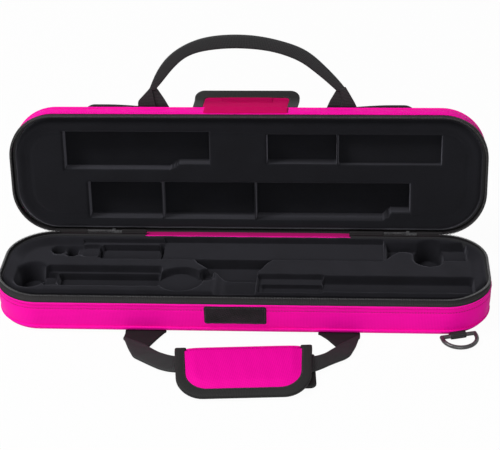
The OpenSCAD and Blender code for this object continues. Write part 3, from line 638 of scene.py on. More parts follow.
def dish(name, place):
    """Outside panel: a quarter-round edge carried round the outline, then inwards to a narrow ring that is
    closed flat, as is the rim above it."""
    p, n, _ = rim()
    t = np.linspace(0, math.pi / 2, 10)
    profile = np.vstack([np.column_stack([-EDGE_R * (1 - np.cos(t)), EDGE_R * (1 - np.sin(t))]),
                         [(-14, 0), (-24, 0), (-CORNER_R + 5, 0)]])
    out = profile[None, :, :1] + drawn_in(n, EDGE_R, TRAY_HEM)[:, None, None]
    flat = p[:, None] + n[:, None] * out
    points = np.concatenate([flat, np.broadcast_to(profile[None, :, 1:], flat.shape[:2] + (1,))], -1)
    uv = np.concatenate([flat, flat[:1]])
    return tidy_mesh(surface(name, place(points), uv, loop=True), sharp_close=True)


def circle(cx, cy, r, count=12):
    """Profile of a round cord."""
    a = np.linspace(0, 2 * math.pi, count, endpoint=False)
    return np.column_stack([cx + r * np.cos(a), cy + r * np.sin(a)])


TRAY_HEM = TRAY_WALL - 1.4
TRAY_TAPE = [(-0.2, 27.8), (-0.05, 28.7), (-0.05, 30.0), (-0.2, 31.4), (-0.6, 32.5), (-1.1, 32.9),
             (-1.7, 32.8), (-1.8, 32.0), (-1.4, 30.9), (-1.2, 29.6), (-1.2, 27.8)]
TRAY_TAPE_FRONT = [-0.3, -0.3, -1.0, -2.6, -4.5, -5.5, -6.2, -5.6, -3.8, -2.1, -1.4]
LID_TAPE_BAND = [(-0.5, 19.8), (-0.6, 20.9), (-0.7, 23.0), (-0.8, 26.0), (-1.1, 27.0), (-1.6, 27.3),
                 (-2.0, 27.0), (-2.2, 26.2), (-2.1, 25.0), (-2.0, 22.0), (-2.0, 19.8)]
LID_TAPE_ENDS = [-0.1, 0.6, 1.0, 0.8, 0.3, -0.3, -0.9, -1.2, -1.1, -1.1, -1.2]

tray_wall = around("tray_wall_cloth", wall_profile(TRAY_HEM, 2.4, TRAY_HEM - 5.4, 0.7, 0.4), on_tray,
                   wobble=0.22, seed=3, top=TRAY_HEM)
finish(tray_wall, pink_nylon, "base", "cover_fabric", "base_side_cover")
lid_wall = around("lid_wall_cloth", wall_profile(LID_WALL, 2.0, LID_WALL - 4.5, 0.5, 0.35), on_lid,
                  wobble=0.2, seed=5, top=LID_WALL)
finish(lid_wall, pink_nylon, "lid", "cover_fabric", "lid_side_cover")
finish(dish("tray_bottom_cloth", on_tray), pink_nylon, "base", "cover_fabric", "base_bottom_cover")
finish(dish("lid_panel_cloth", on_lid), pink_nylon, "lid", "cover_fabric", "lid_top_cover")
piping_profile = circle(0.35, EDGE_R, PIPING_R)
for name, place, body in (("tray_piping", on_tray, "base"), ("lid_piping_cord", on_lid, "lid")):
    cord = around(name, piping_profile, place, top=TRAY_HEM)
    finish(cord, pink_nylon, body, "cover_fabric", f"{body}_piping")
tray_band = around("tray_zip_band", TRAY_TAPE, on_tray, keep=off_hinge, lean=(TRAY_TAPE_FRONT, in_front))
finish(tray_band, zip_cloth, "base", "zip_tape", "base_zip_tape")
lid_band = around("lid_zip_band", LID_TAPE_BAND, on_lid, lean=(LID_TAPE_ENDS, at_ends))
finish(lid_band, zip_cloth, "lid", "zip_tape", "lid_zip_tape")


COIL_PITCH = 1.25


def coil(name, outward, front, up, place, keep, size, node, body, material=teeth_nylon):
    """Row of zip teeth round the rim: beads across the tape at the coil's pitch, at one distance outwards and
    another along the front."""
    p, n, s = rim(step=1.5, corner=60)
    at = np.arange(0, s[-1], COIL_PITCH)
    pos, nor = points_at(at, s, np.vstack([p, p[:1]])), points_at(at, s, np.vstack([n, n[:1]]))
    use = keep(pos)
    pos, nor = pos[use], nor[use] / np.linalg.norm(nor[use], axis=1, keepdims=True)
    out = outward + (front - outward) * in_front(pos)
    centre = np.column_stack([pos + nor * out[:, None], np.full(len(pos), up)])
    along = np.column_stack([nor, 0 * nor[:, 0]])
    teeth = beads(name, centre, along, np.tile(UP, (len(pos), 1)), size, place)
    finish(teeth, material, body, "zip_teeth", node)


coil("tray_coil", -1.2, -5.2, 32.95, on_tray, off_hinge, (2.4, 0.75, 0.85), "base_zip_teeth", "base")
coil("lid_coil", -0.8, -0.8, 27.25, on_lid, off_free_hinge, (1.7, 0.75, 0.85), "lid_zip_teeth", "lid",
     shaded_teeth)

hem_row = rim_line(0.35, TRAY_HEM - 5.4, top=TRAY_HEM)
finish(stitches("tray_hem_stitches", hem_row, UP, 2.4, size=0.5), pink_thread, "base", "cover_fabric")
edge_row = rim_line(0.45, TRAY_HEM - 0.9)
finish(stitches("tray_edge_stitches", edge_row, UP, 2.0, size=0.35), pink_thread, "base", "cover_fabric")
tape_row = rim_line(-0.25, 30.6, off_hinge, front=-1.75)
finish(stitches("tray_tape_stitches", tape_row, UP, 2.0, size=0.4), black_thread, "base", "zip_tape")
lid_row = rim_line(0.35, LID_WALL - 1.0, top=LID_WALL)
finish(stitches("lid_hem_stitches", lid_row, UP, 2.2, on_lid, size=0.45), pink_thread, "lid", "cover_fabric")


# ---- plush inserts ----

def box_distance(x, y, x0, x1, y0, y1, r):
    """Signed distance to a rectangle with round corners, negative inside."""
    dx = np.abs(x - (x0 + x1) / 2) - (x1 - x0) / 2 + r
    dy = np.abs(y - (y0 + y1) / 2) - (y1 - y0) / 2 + r
    return np.hypot(np.maximum(dx, 0), np.maximum(dy, 0)) + np.minimum(np.maximum(dx, dy), 0) - r


def polygon_distance(x, y, corners):
    """Signed distance to a polygon, negative inside: nearest edge, with the side found by crossings."""
    far, inside = np.full(x.shape, 1e9), np.zeros(x.shape, bool)
    for (ax, ay), (bx, by) in zip(corners, corners[1:] + corners[:1]):
        ex, ey = bx - ax, by - ay
        t = np.clip(((x - ax) * ex + (y - ay) * ey) / (ex * ex + ey * ey), 0, 1)
        far = np.minimum(far, np.hypot(x - ax - t * ex, y - ay - t * ey))
        if ey:
            inside ^= ((ay > y) != (by > y)) & (x < ex * (y - ay) / ey + ax)
    return np.where(inside, -far, far)


def rim_distance(x, y, inset):
    """Signed distance to the case's outline drawn in by inset."""
    return box_distance(x, y, inset - HALF_L, HALF_L - inset, inset - HALF_W, HALF_W - inset,
                        CORNER_R - inset)


def sunk(top, distance, floor, soft, lip, reach):
    """Surface with a pocket pressed into it: a lip that falls by lip over reach outside it, a steep wall that
    takes one and a half times soft, and a floor at a height."""
    edge = top - lip * (1 - smooth(0, reach, distance))
    return floor + (edge - floor) * smooth(-soft, soft * 0.5, distance)


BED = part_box("base_insert")[1][2] / MM
PAD_IN = 2.4
MIDDLE_WELL = [(-44, 21.5), (-41, 15.6), (-27.2, 1.4), (-10, -1), (11.7, -2), (11.7, 1.3), (20, 16.8),
               (25.2, 21.5)]
RIGHT_HOLE = [(123, 24), (127, 30), (134, 36.5), (143, 35.5), (150, 30), (150, 46), (123, 46)]


def tray_height(x, y):
    """Tray insert: a soft top that rises to the tape at the back and the ends and stops short of it along the
    front, with the flute's channels, grooves and finger wells pressed in."""
    near_rim = rim_distance(x, y, PAD_IN)
    plan = box_distance(x, y, -210, 208, -34.8, 66, 26)
    ends = smooth(185, 206, np.abs(x))
    top = BED + swell(x, y, 0.25, 11) + (3.4 + ends) * smooth(-13, -1.5, near_rim) * smooth(-34, -18, y)
    top = top - 1.4 * smooth(-7, 0, plan) ** 2
    top = top - 10.5 * smooth(-0.8, 1.2, plan)

    def box(*sides):
        """Distance to a rectangle: its two x, its two y and its corners' radius."""
        return box_distance(x, y, *sides)

    slope = 15.8 + 11.0 * smooth(-12, -27, x) ** 1.5
    z = top
    for distance, floor, soft, lip, reach, join in (
            # the body joint's channel, its grooves and its tip
            (box(-74, 121, 20.3, 50.6, 1.5), 24.6, 0.8, 0.5, 2.4, 0.5),
            (box(-146.5, -72.7, 24, 48.2, 1.5), 25.6, 0.7, 0.4, 2.4, 0.4),
            (box(-128, -73, 20.3, 43.6, 2), 20.2, 0.8, 0.9, 2.4, 0.6),
            (box(-77.4, -72.9, 22, 45.5, 1.5), 15.5, 0.6, 0.4, 2.4, 0.4),
            (box(-146, -129, 24, 44, 5), 23.0, 2.4, 0.9, 2.4, 1.0),
            (box(-131, -127.3, 22, 41, 1.5), 17.0, 1.0, 0.4, 2.4, 0.6),
            (box(-172, -142, 26, 39, 5), 24.6, 1.6, 0.8, 2.4, 1.2),
            (np.hypot((x + 167) / 1.3, y - 34) - 4.5, 15.0, 1.6, 0.8, 2.4, 1.4),
            (box(-159, -149, 24, 38, 4), 14.0, 1.4, 0.8, 2.4, 1.2),
            # the saddle, the channel at the right end and the finger well between them
            (polygon_distance(x, y, RIGHT_HOLE), 20.0, 1.2, 0.9, 2.4, 0.8),
            (box(168, 192.5, 22, 46, 3), 21.3, 1.2, 0.9, 2.4, 0.8),
            (box(147, 173, 13.3, 50, 13), 9.0, 2.2, 1.2, 3.5, 1.0),
            # the foot joint's channel and slot, the round well and the left finger well
            (box(-172, -71, -22.9, 8.4, 4), 20.0, 1.2, 1.0, 3.0, 0.8),
            (box(-161, -73, -20.5, 4.8, 3), 13.8, 0.9, 0.3, 2.4, 0.6),
            (box(-176, -161.5, -14, 6, 5), 15.0, 1.4, 0.6, 2.4, 1.2),
            (np.hypot((x + 54) / 1.08, y + 11.8) - 18, 20.3, 1.4, 1.0, 3.0, 0.8),
            (box(-196.5, -172, -25.2, 11.5, 12), 9.0, 2.4, 1.6, 4.0, 1.2),
            # the notch, the middle well and the head joint's channels
            (box(-37, -26, -13, 4.5, 5), 18.6, 1.6, 0.9, 2.4, 1.0),
            (polygon_distance(x, y, MIDDLE_WELL), 15.8, 1.0, 0.9, 2.4, 0.6),
            (box(-34, 11.7, -33, 3, 2), slope, 1.2, 0.9, 2.4, 1.2),
            (box(12.5, 69.6, -30.5, -2.9, 3), 21.8, 1.2, 0.9, 2.4, 0.8),
            (box(15.5, 68.5, -29, -12.3, 3), 18.6, 1.2, 0.3, 2.4, 0.6),
            (box(67, 196, -28.2, -5, 4), 19.0, 1.5, 1.0, 3.0, 0.8)):
        z = soft_min(z, sunk(top, distance, floor, soft, lip, reach), join)
    return z


tray_pad = hump("tray_insert_plush", 2 * (HALF_L - PAD_IN), 2 * (HALF_W - PAD_IN), CORNER_R - PAD_IN, on_tray,
                tray_height, 1.25, (-172, -146.5, -131, -127.5, -75, -71, 11.7, 69.6, 121, 173, 196, 203),
                (-34.8, -30.5, -28.2, -22.9, -12.5, -5, -2.9, 4.8, 8.4, 20.3, 43.6, 48.2, 50.6),
                base=EDGE_R + 0.2)
finish(tray_pad, tray_plush, "base", "lining", "base_insert")

LID_FACE = LID_FULL - 4.0
LID_PAD_IN = 4.0
LEFT_RECESS = [(-162.5, 59.3), (-69, 59.3), (-60, 65), (-33, 65), (-33, 95.2), (-162.5, 95.2)]
LONG_RECESS = [(7.4, 12.4), (120, 12.4), (127.5, 19.5), (144, 19.5), (144, 48), (7.4, 48)]


def lid_height(x, y):
    """Lid insert: a crowned face that rolls up to the tape and down at its very edge, with a sewn line inside
    the border and the recesses cut straight in."""
    u = y + HALF_W
    near_rim = rim_distance(x, y, LID_PAD_IN)
    top = LID_FACE + swell(x, y, 0.3, 21) + 1.2 * smooth(-10, -4, near_rim)
    top = top - 2.6 * smooth(-3.0, 0.5, near_rim)
    top = top - 0.45 * np.exp(-((near_rim + 13) / 1.3) ** 2)
    z = top
    for distance, depth in (
            (polygon_distance(x, u, LEFT_RECESS), 13.6),
            (box_distance(x, u, 17.6, 79.1, 65.6, 93, 1.5), 13.6),
            (box_distance(x, u, 80.5, 170.5, 64.8, 93, 1.5), 7.4),
            (box_distance(x, u, -142.5, -76.8, 13, 48, 1.5), 14.3),
            (box_distance(x, u, -75.8, 6.3, 12.8, 48, 0.8), 17.2),
            (polygon_distance(x, u, LONG_RECESS), 17.2)):
        z = np.minimum(z, sunk(top, distance, LID_FACE - depth, 0.35, 0.7, 1.8))
    return z


lid_pad = hump("lid_insert_plush", 2 * (HALF_L - LID_PAD_IN), 2 * (HALF_W - LID_PAD_IN),
               CORNER_R - LID_PAD_IN, on_lid, lid_height, 1.6,
               (-162.5, -69, -33, 17.6, 79.8, 170.5, -142.5, -76.3, 6.9, 120, 127.5, 144),
               tuple(v - HALF_W for v in (59.3, 65.1, 93, 95.2, 12.7, 19.5, 48)), base=EDGE_R + 0.2)
finish(lid_pad, lid_plush, "lid", "lining", "lid_insert")


# ---- fabric hinge and zip ends ----

fold_line = drawn([(54.6, 28.0), (55.6, 28.7), (57.6, 29.2), (60.2, 29.2), (62.4, 28.7), (64.2, 27.8)], 16)


def across(line, x0, x1):
    """Two edge curves along X for a band whose section runs along a (y, z) line."""
    return [np.column_stack([np.full(len(line), x), line]) for x in (x0, x1)]


# The hinge strip takes the darker pink: painted shade.
hinge_cloth = ribbon("hinge_cloth", *across(fold_line, -SPINE, SPINE), 0.9)
hinge_cloth.data.materials.append(shaded_nylon)
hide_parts("hinge_bead", "hinge_strip")
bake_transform(hinge_cloth)

zip_end = HALF_L - CORNER_R + 3
for side, name, gap_near, gap_far in ((-1, "left", 112, 145), (1, "right", 120, 151)):
    high = drawn([(56.2, 24.7), (56.2, 29.0), (56.4, 31.6), (57.0, 33.6)], 12)
    low = drawn([(56.2, 24.7), (56.2, 27.0), (55.9, 29.0), (55.6, 30.4)], 12)
    for part, near, far in (("inner", SPINE - 1, gap_near + 1), ("outer", gap_far - 1, zip_end)):
        tape = ribbon(f"{name}_{part}_hinge_tape", *across(high, side * near, side * far), 0.9)
        finish(tape, zip_cloth, "base", "zip_tape")
    tape = ribbon(f"{name}_hinge_tape", *across(low, side * gap_near, side * gap_far), 0.9)
    finish(tape, zip_cloth, "base", "zip_tape", "hinge_tapes")
    x = np.arange(SPINE + 1, zip_end, 1.35) * side
    centre = np.column_stack([x, np.full(len(x), HALF_W + 1.4), np.full(len(x), HINGE[2] - 0.6)])
    backward = np.tile([0.0, 1.0, 0.0], (len(x), 1))
    teeth = beads(f"{name}_hinge_coil", centre, np.tile(UP, (len(x), 1)), backward, (2.4, 0.9, 0.5))
    finish(teeth, teeth_nylon, "base", "zip_teeth")


def dress(material, *nodes):
    """Gives a material to CAD nodes that stay as they are."""
    for name in nodes:
        frame["nodes"][name].data.materials.clear()
        frame["nodes"][name].data.materials.append(material)


dress(nickel, "left_slider", "left_pull", "right_slider", "right_pull", "pocket_slider", "pocket_pull")
dress(black_wire, "strap_ring")
dress(dark_lining, "base_frame", "lid_frame")


# ---- patches and flaps ----

PATCH = (52, 16.9)


def fuzzy(x, y):
    """Loop pile: clumps of loops over a flat patch, rounded down at its edges."""
    l, w = PATCH
    edge = np.minimum(l / 2 - np.abs(x), w / 2 - np.abs(y))
    return 0.45 + 0.5 * smooth(0, 1.2, edge) + fluff(x, y, 0.22, 31, 1.5) + fluff(x, y, 0.12, 32, 0.7)


def on_front(points):
    """From a patch's frame, x along the wall and y up it, to the front wall."""
    p = np.array(points, float)
    return np.stack([p[..., 0] - 3.5, -HALF_W - 0.35 - p[..., 2], p[..., 1] + 19.2], -1)


patch = hump("front_loop_patch", *PATCH, 2.0, on_front, fuzzy, 0.5, base=0.0)
finish(patch, loop_pile, "base", "loop_pile", "loop_patch")
x, y = (v / 2 - 1.4 for v in PATCH)
square = np.array([(-x, -y, 1.0), (x, -y, 1.0), (x, y, 1.0), (-x, y, 1.0), (-x, -y, 1.0)])
finish(stitches("front_patch_stitches", square, UP, 2.2, on_front, 0.5), black_thread, "base", "loop_pile")


def tongue(l, w, r, count=14):
    """Outline of a flap from its left root round its two free corners to its right root, as (x, s)."""
    t = np.linspace(0, math.pi / 2, count)
    left = np.column_stack([-l / 2 + r - r * np.cos(t), w - r + r * np.sin(t)])
    right = np.column_stack([l / 2 - r + r * np.sin(t), w - r + r * np.cos(t)])
    sides = np.linspace(0, w - r, count, endpoint=False)
    tip = np.linspace(-l / 2 + r, l / 2 - r, 2 * count)[1:-1]
    return np.vstack([np.column_stack([np.full(count, -l / 2), sides]), left,
                      np.column_stack([tip, np.full(len(tip), w)]), right,
                      np.column_stack([np.full(count, l / 2), sides[::-1]])])


def bend(points, stations, degrees):
    """Bends flat points (x, s, h) in their s-h plane: the middle line slopes at the given angles at the
    stations, evenly between them, and h stays square to it."""
    p = np.array(points, float)
    s = np.linspace(-10, stations[-1] + 30, 500)
    slope = np.radians(np.interp(s, stations, degrees))
    step = np.diff(s)
    run = np.concatenate([[0], np.cumsum(np.cos(slope[:-1]) * step)])
    climb = np.concatenate([[0], np.cumsum(np.sin(slope[:-1]) * step)])
    run, climb = run - np.interp(0, s, run), climb - np.interp(0, s, climb)
    here = np.interp(p[..., 1], s, slope)
    return np.stack([p[..., 0], np.interp(p[..., 1], s, run) - p[..., 2] * np.sin(here),
                     np.interp(p[..., 1], s, climb) + p[..., 2] * np.cos(here)], -1)


def bound_flap(name, l, w, r, band, thick, place, body, cloth_material, nodes, puff=0.8, seed=1):
    """Flap with its binding: a padded panel, a flattened band round its free edges and a row of stitches.
    place takes flat points (x, s, h), s from the root to the tip."""
    inner_l, inner_w = l - 2 * band + 2.4, w - band + 1.2
    inner_r = max(r - band * 0.55, 2.0)

    def padding(x, y):
        edge = -box_distance(x, y, -l / 2 + band, l / 2 - band, -3 * w, inner_w / 2 - 1.2, inner_r)
        return (thick / 2 - 0.9 + 0.55 * smooth(-1.5, 0.5, edge) + puff * smooth(0, 9, edge)
                + swell(x, y, 0.18, seed, (14, 23, 31)))

    panel = hump(f"{name}_panel", inner_l, inner_w, 2.0,
                 lambda p: place(np.array(p) + np.array([0, inner_w / 2 + 0.4, 0])), padding, 1.2,
                 base=-thick / 2 + 0.2, bent=True)
    finish(panel, cloth_material, body, "cover_fabric", nodes[0])
    outer, inner = tongue(l, w, r), tongue(l - 2 * band, w - band, inner_r)
    flat = [np.column_stack([edge, np.zeros(len(edge))]) for edge in (outer, inner)]
    edge = ribbon(f"{name}_binding", *flat, thick + 0.5, place, square=0.35)
    finish(edge, binding_tape, body, "binding", nodes[1])
    line = tongue(l - 2 * band + 2.6, w - band + 1.3, inner_r + 1.3)
    sewn = stitches(f"{name}_stitches", np.column_stack([line, np.full(len(line), thick / 2 + 0.1)]), UP, 2.4,
                    place, 0.4)
    finish(sewn, black_thread, body, "binding")
    return panel


def strip(half_l, near, far, height):
    """Two edge curves on a flap for a patch between two distances from its root."""
    return [np.column_stack([np.full(8, x), np.linspace(near, far, 8), np.full(8, height)])
            for x in (-half_l, half_l)]


FLAP_DROP = 2.1


def closure_place(points):
    """Open closure flap: a slight droop, then a tip that curls up; h is its inner side."""
    p = bend(points, (0, 24, 29, 35, 44), (-2, -2, 8, 30, 37))
    flare = 0.95 + 0.0008 * p[..., 1]
    return on_flap(np.stack([p[..., 0] * flare + 1.2, p[..., 1], p[..., 2] - FLAP_DROP], -1))


# The closure flap takes the darker flap pink: painted shade.
bound_flap("closure", 97, 43, 9, 9.5, 2.8, closure_place, "closure_flap", pink_flap_painted_shade,
           ("flap_panel", "flap_binding"), puff=0.35, seed=41)
hooks = ribbon("closure_hooks", *strip(24, 20, 33, 1.45), 0.5, closure_place)
finish(hooks, pink_hooks, "closure_flap", "pink_hook", "flap_hook")
for name in ("closure_panel", "closure_binding", "closure_stitches", "closure_hooks"):
    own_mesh(bpy.data.objects[name])

root = drawn([(57.0, 5.3), (57.15, 6.4), (56.8, 8.5), (56.75, 13), (56.5, 17.5), (56.0, 19.3)], 12)
sewn = ribbon("closure_root", *across(root, FLAP_X - 34.2, FLAP_X + 39.5), 0.8, on_lid)
finish(sewn, pink_flap_painted_shade, "lid", "cover_fabric")


# ---- rear handle ----

HANDLE_Z = -1.9
ARCH_OUT = [(-87.0, 70.7), (-83.7, 79.2), (-78.0, 90.7), (-68.7, 102.1), (-56.7, 110.4), (-43.3, 116.4),
            (-30.2, 119.4), (-12.7, 120.7), (4.7, 120.1), (20.5, 117.5), (33.5, 113.9), (46.5, 109.7),
            (56.6, 103.7), (68.2, 92.4), (76.9, 83.3), (84.2, 75.0), (86.6, 71.2)]
ARCH_IN = [(-81.1, 70.8), (-76.5, 75.4), (-71.0, 83.1), (-63.2, 92.2), (-54.1, 100.6), (-42.3, 105.1),
           (-27.6, 107.4), (-13.0, 108.5), (4.4, 107.9), (20.4, 105.9), (33.4, 102.2), (47.9, 96.2),
           (58.0, 87.9), (68.2, 79.5), (78.4, 69.8)]


def upright(points, count, z=HANDLE_Z):
    """Curve in the handle's plane behind the lid."""
    p = drawn(points, count, 1)
    return np.column_stack([p, np.full(count, z)])


grip = ribbon("rear_grip_band", upright(ARCH_OUT, 90), upright(ARCH_IN, 90), 3.4, on_lid, groove=(0.35, 0.3))
finish(grip, webbing, "rear_handle", "webbing", "rear_grip")
line = upright(ARCH_OUT, 90) * 0.33 + upright(ARCH_IN, 90) * 0.67
line[:, 2] += 1.25
finish(stitches("rear_grip_stitches", line, UP, 2.6, on_lid, 0.45), black_thread, "rear_handle", "webbing")


def layer(name, left, right, body, place, thick=1.7, count=14, nodes=(), material=webbing):
    """One layer of webbing between two edges given by a few typed points each."""
    band = ribbon(name, drawn(left, count, 0), drawn(right, count, 0), thick, place)
    return finish(band, material, body, "webbing", *nodes)


layer("rear_left_front_layer", [(-97.7, 53.6, -1.2), (-97.4, 60.0, -1.0), (-87.2, 71.0, -1.0)],
      [(-81.0, 53.6, -1.2), (-82.6, 61.0, -1.0), (-84.2, 72.0, -1.0)], "rear_handle", on_lid,
      nodes=("rear_straps",))
layer("rear_left_back_layer", [(-88.0, 53.6, -2.9), (-87.0, 62.0, -2.9), (-86.2, 72.0, -2.9)],
      [(-69.8, 53.6, -2.9), (-74.0, 61.5, -2.9), (-80.6, 72.0, -2.9)], "rear_handle", on_lid)
layer("rear_right_front_layer", [(96.8, 53.6, -1.2), (94.5, 59.0, -1.0), (86.6, 73.0, -1.0)],
      [(80.6, 53.6, -1.2), (83.2, 61.5, -1.0), (80.8, 71.0, -1.0)], "rear_handle", on_lid)
layer("rear_right_back_layer", [(88.0, 53.6, -2.9), (87.0, 62.0, -2.9), (85.6, 72.0, -2.9)],
      [(69.6, 53.6, -2.9), (72.6, 60.5, -2.9), (78.6, 71.0, -2.9)], "rear_handle", on_lid)
for side, name in ((-1, "left"), (1, "right")):
    x0, x1 = side * 83 - 13.5, side * 83 + 13.5
    line = drawn([(42.5, -0.8), (47.5, -0.85), (51.6, -0.95)], 8)
    sewn = ribbon(f"rear_{name}_anchor", *across(line, x0, x1), 1.5, on_lid)
    finish(sewn, webbing, "lid", "webbing", "rear_anchors")


# ---- front handle ----

STRAP_L_OUT = [(-96.7, -67.9, 3.4), (-90.9, -83.1, 3.0), (-85.4, -94.4, 2.4), (-79.7, -98.2, 2.2),
               (-71.3, -104.4, 2.4), (-62.5, -110.7, 2.8), (-54.8, -114.7, 3.6), (-47.0, -117.0, 4.6)]
STRAP_L_IN = [(-73.9, -81.8, 4.2), (-70.5, -85.3, 4.6), (-67.2, -88.3, 5.0), (-63.9, -91.4, 5.6),
              (-59.8, -94.3, 6.2), (-55.1, -97.1, 6.8), (-52.0, -98.5, 7.2), (-46.0, -100.6, 7.6)]
STRAP_R_OUT = [(100.2, -61.1, 3.4), (96.9, -76.0, 3.0), (92.4, -88.3, 2.4), (88.3, -92.6, 2.2),
               (82.8, -96.4, 2.4), (76.4, -101.8, 3.0), (70.0, -108.0, 3.8), (60.0, -116.0, 5.0)]
STRAP_R_IN = [(81.4, -78.1, 4.2), (79.0, -81.2, 4.6), (76.1, -84.3, 5.0), (73.3, -88.3, 5.6),
              (70.4, -91.4, 6.2), (67.6, -93.8, 6.8), (64.8, -95.7, 7.2), (58.0, -98.6, 7.8)]

layer("front_left_band", STRAP_L_OUT, STRAP_L_IN, "front_handle", on_tray, 2.6, 44, ("front_straps",))
layer("front_right_band", STRAP_R_OUT, STRAP_R_IN, "front_handle", on_tray, 2.6, 44)
# The feet take the darker webbing: painted shade.
layer("front_left_foot", [(-96.5, -56.6, 1.6), (-96.3, -60.4, 1.9), (-96.9, -68.5, 2.6)],
      [(-62.6, -56.6, 1.6), (-67.6, -66.8, 2.4), (-74.4, -82.2, 3.2)], "front_handle", on_tray, 2.2,
      material=shaded_webbing)
layer("front_right_foot", [(100.2, -56.6, 1.6), (100.5, -58.5, 1.9), (100.3, -62.0, 2.6)],
      [(66.0, -56.6, 1.6), (72.9, -64.8, 2.4), (81.7, -78.6, 3.2)], "front_handle", on_tray, 2.2,
      material=shaded_webbing)
layer("front_grip_core", [(-50, -114.0, 4.9), (5, -112.3, 5.2), (62, -113.0, 5.0)],
      [(-50, -100.2, 7.0), (5, -98.8, 6.8), (62, -97.6, 7.2)], "front_handle", on_tray, 2.6, 20,
      ("front_grip",))
# The anchors take the darker webbing: painted shade.
for name, x0, x1 in (("left", -96.6, -62.0), ("right", 65.4, 100.3)):
    a = np.radians(np.linspace(234, 216, 7))
    line = np.vstack([np.column_stack([EDGE_R - HALF_W + 6.4 * np.cos(a), EDGE_R + 6.4 * np.sin(a)]),
                      [(-56.0, 1.75), (-57.4, 1.65)]])
    sewn = ribbon(f"front_{name}_anchor", *across(line, x0, x1), 1.3)
    finish(sewn, shaded_webbing, "base", "webbing", "front_anchors")

# the wrap lies a little askew on its grip
ASKEW = math.radians(3.8)


def skewed(points):
    """Turns points about an upright line through the wrap's fold."""
    p = np.array(points, float)
    c, s = math.cos(ASKEW), math.sin(ASKEW)
    dx, dy = p[..., 0] - wrap_axis[0], p[..., 1] - wrap_axis[1]
    return np.stack([wrap_axis[0] + dx * c - dy * s, wrap_axis[1] + dx * s + dy * c, p[..., 2]], -1)


def wrap_place(points):
    """Upper flap of the wrap: it drapes over the grip and its free edge sinks to the ground."""
    p = bend(points, (0, 10, 30, 42, 54), (0, -3, -6, -10, -17))
    narrow = 1 - 0.0011 * np.maximum(p[..., 1], 0)
    return skewed(on_wrap(np.stack([p[..., 0] * narrow + 0.6, p[..., 1], p[..., 2] + 4.6], -1)))


def back_place(points):
    """Lower layer of the wrap, flat on the ground."""
    p = np.array(points, float)
    return skewed(on_wrap(np.stack([p[..., 0] + 4.2, p[..., 1] - 1.0, p[..., 2] - 3.8], -1)))


wrap_panel = bound_flap("wrap_cover", 112, 54.5, 22, 8.5, 3.6, wrap_place, "wrap_cover", pink_wrap_nylon,
                        ("wrap_flap", "wrap_binding"), puff=1.1, seed=51)
bound_flap("wrap_back", 108.5, 41.5, 5, 9.0, 3.0, back_place, "front_handle", pink_wrap_nylon,
           ("wrap_back", "wrap_back"), puff=0.2, seed=52)

a = np.radians(np.linspace(-84, 84, 18))
curl = np.column_stack([np.zeros(18), -1.2 - 4.4 * np.cos(a), 0.4 + 4.2 * np.sin(a)])
for name, x0, x1, thick, material, slot in (
        ("wrap_fold_middle", -47, 47, 3.4, pink_wrap_nylon, "cover_fabric"),
        ("wrap_fold_left", -56, -46.5, 4.1, binding_tape, "binding"),
        ("wrap_fold_right", 46.5, 56, 4.1, binding_tape, "binding")):
    edges = [curl + np.array([x + 0.6, 0, 0]) for x in (x0, x1)]
    piece = ribbon(name, *edges, thick, lambda p: skewed(on_wrap(p)))
    piece.data.materials.append(material)
    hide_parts("wrap_fold")
    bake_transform(piece)

hooks = ribbon("wrap_hooks", *strip(42, 24, 40, -2.1), 0.7, wrap_place)
finish(hooks, hook_pile, "wrap_cover", "loop_pile", "wrap_hook")
loops = ribbon("wrap_loops", *strip(40, 20, 32, 1.7), 0.5, back_place)
finish(loops, loop_pile, "front_handle", "loop_pile", "wrap_loop")


# ---- strap ring's tab ----

a = np.radians(np.linspace(-88, 88, 14))
loop = np.vstack([[(37.4, -2.3), (39.2, -2.35), (41.5, -2.35)],
                  np.column_stack([RING_BAR + 2.35 * np.cos(a), 2.35 * np.sin(a)]),
                  [(41.6, 2.2), (40.6, 1.7)]])
tab = ribbon("ring_tab_webbing", *[np.column_stack([loop[:, 0], np.full(len(loop), y), loop[:, 1]])
                                   for y in (-6.5, 6.5)], 0.9, on_ring)
finish(tab, webbing, "base", "webbing", "ring_tab")


# ---- outside pocket ----

POCKET = (300, 89, 12, 12)
POCKET_MID = HALF_W - 6.2 - POCKET[1] / 2


def on_pocket(points):
    """From the pocket's frame, z up away from the lid's outside panel."""
    p = np.array(points, float)
    return on_lid(np.stack([p[..., 0], p[..., 1] + POCKET_MID, -p[..., 2]], -1))


def on_leaning_pocket(points):
    """The same with the bag sagging towards the free edge as it stands away from the panel."""
    p = np.array(points, float)
    lean = 0.26 * p[..., 2] * smooth(20, 40, p[..., 1]) * smooth(62, 128, np.abs(p[..., 0]))
    return on_pocket(np.stack([p[..., 0], p[..., 1] + lean, p[..., 2]], -1))


def bag(x, y):
    """Pocket bag: a gusset that stands up to a rounded edge, under a slack, slightly crowned face."""
    l, w, r, t = POCKET
    inside = -box_distance(x, y, -l / 2, l / 2, -w / 2, w / 2, r)
    wall = t * np.sqrt(np.clip(1 - (1 - np.clip(inside / 3.0, 0, 1)) ** 2, 0, 1))
    return wall + (0.5 * smooth(4, 30, inside) + swell(x, y, 0.3, 61, (41, 67, 29))) * smooth(1, 6, inside)


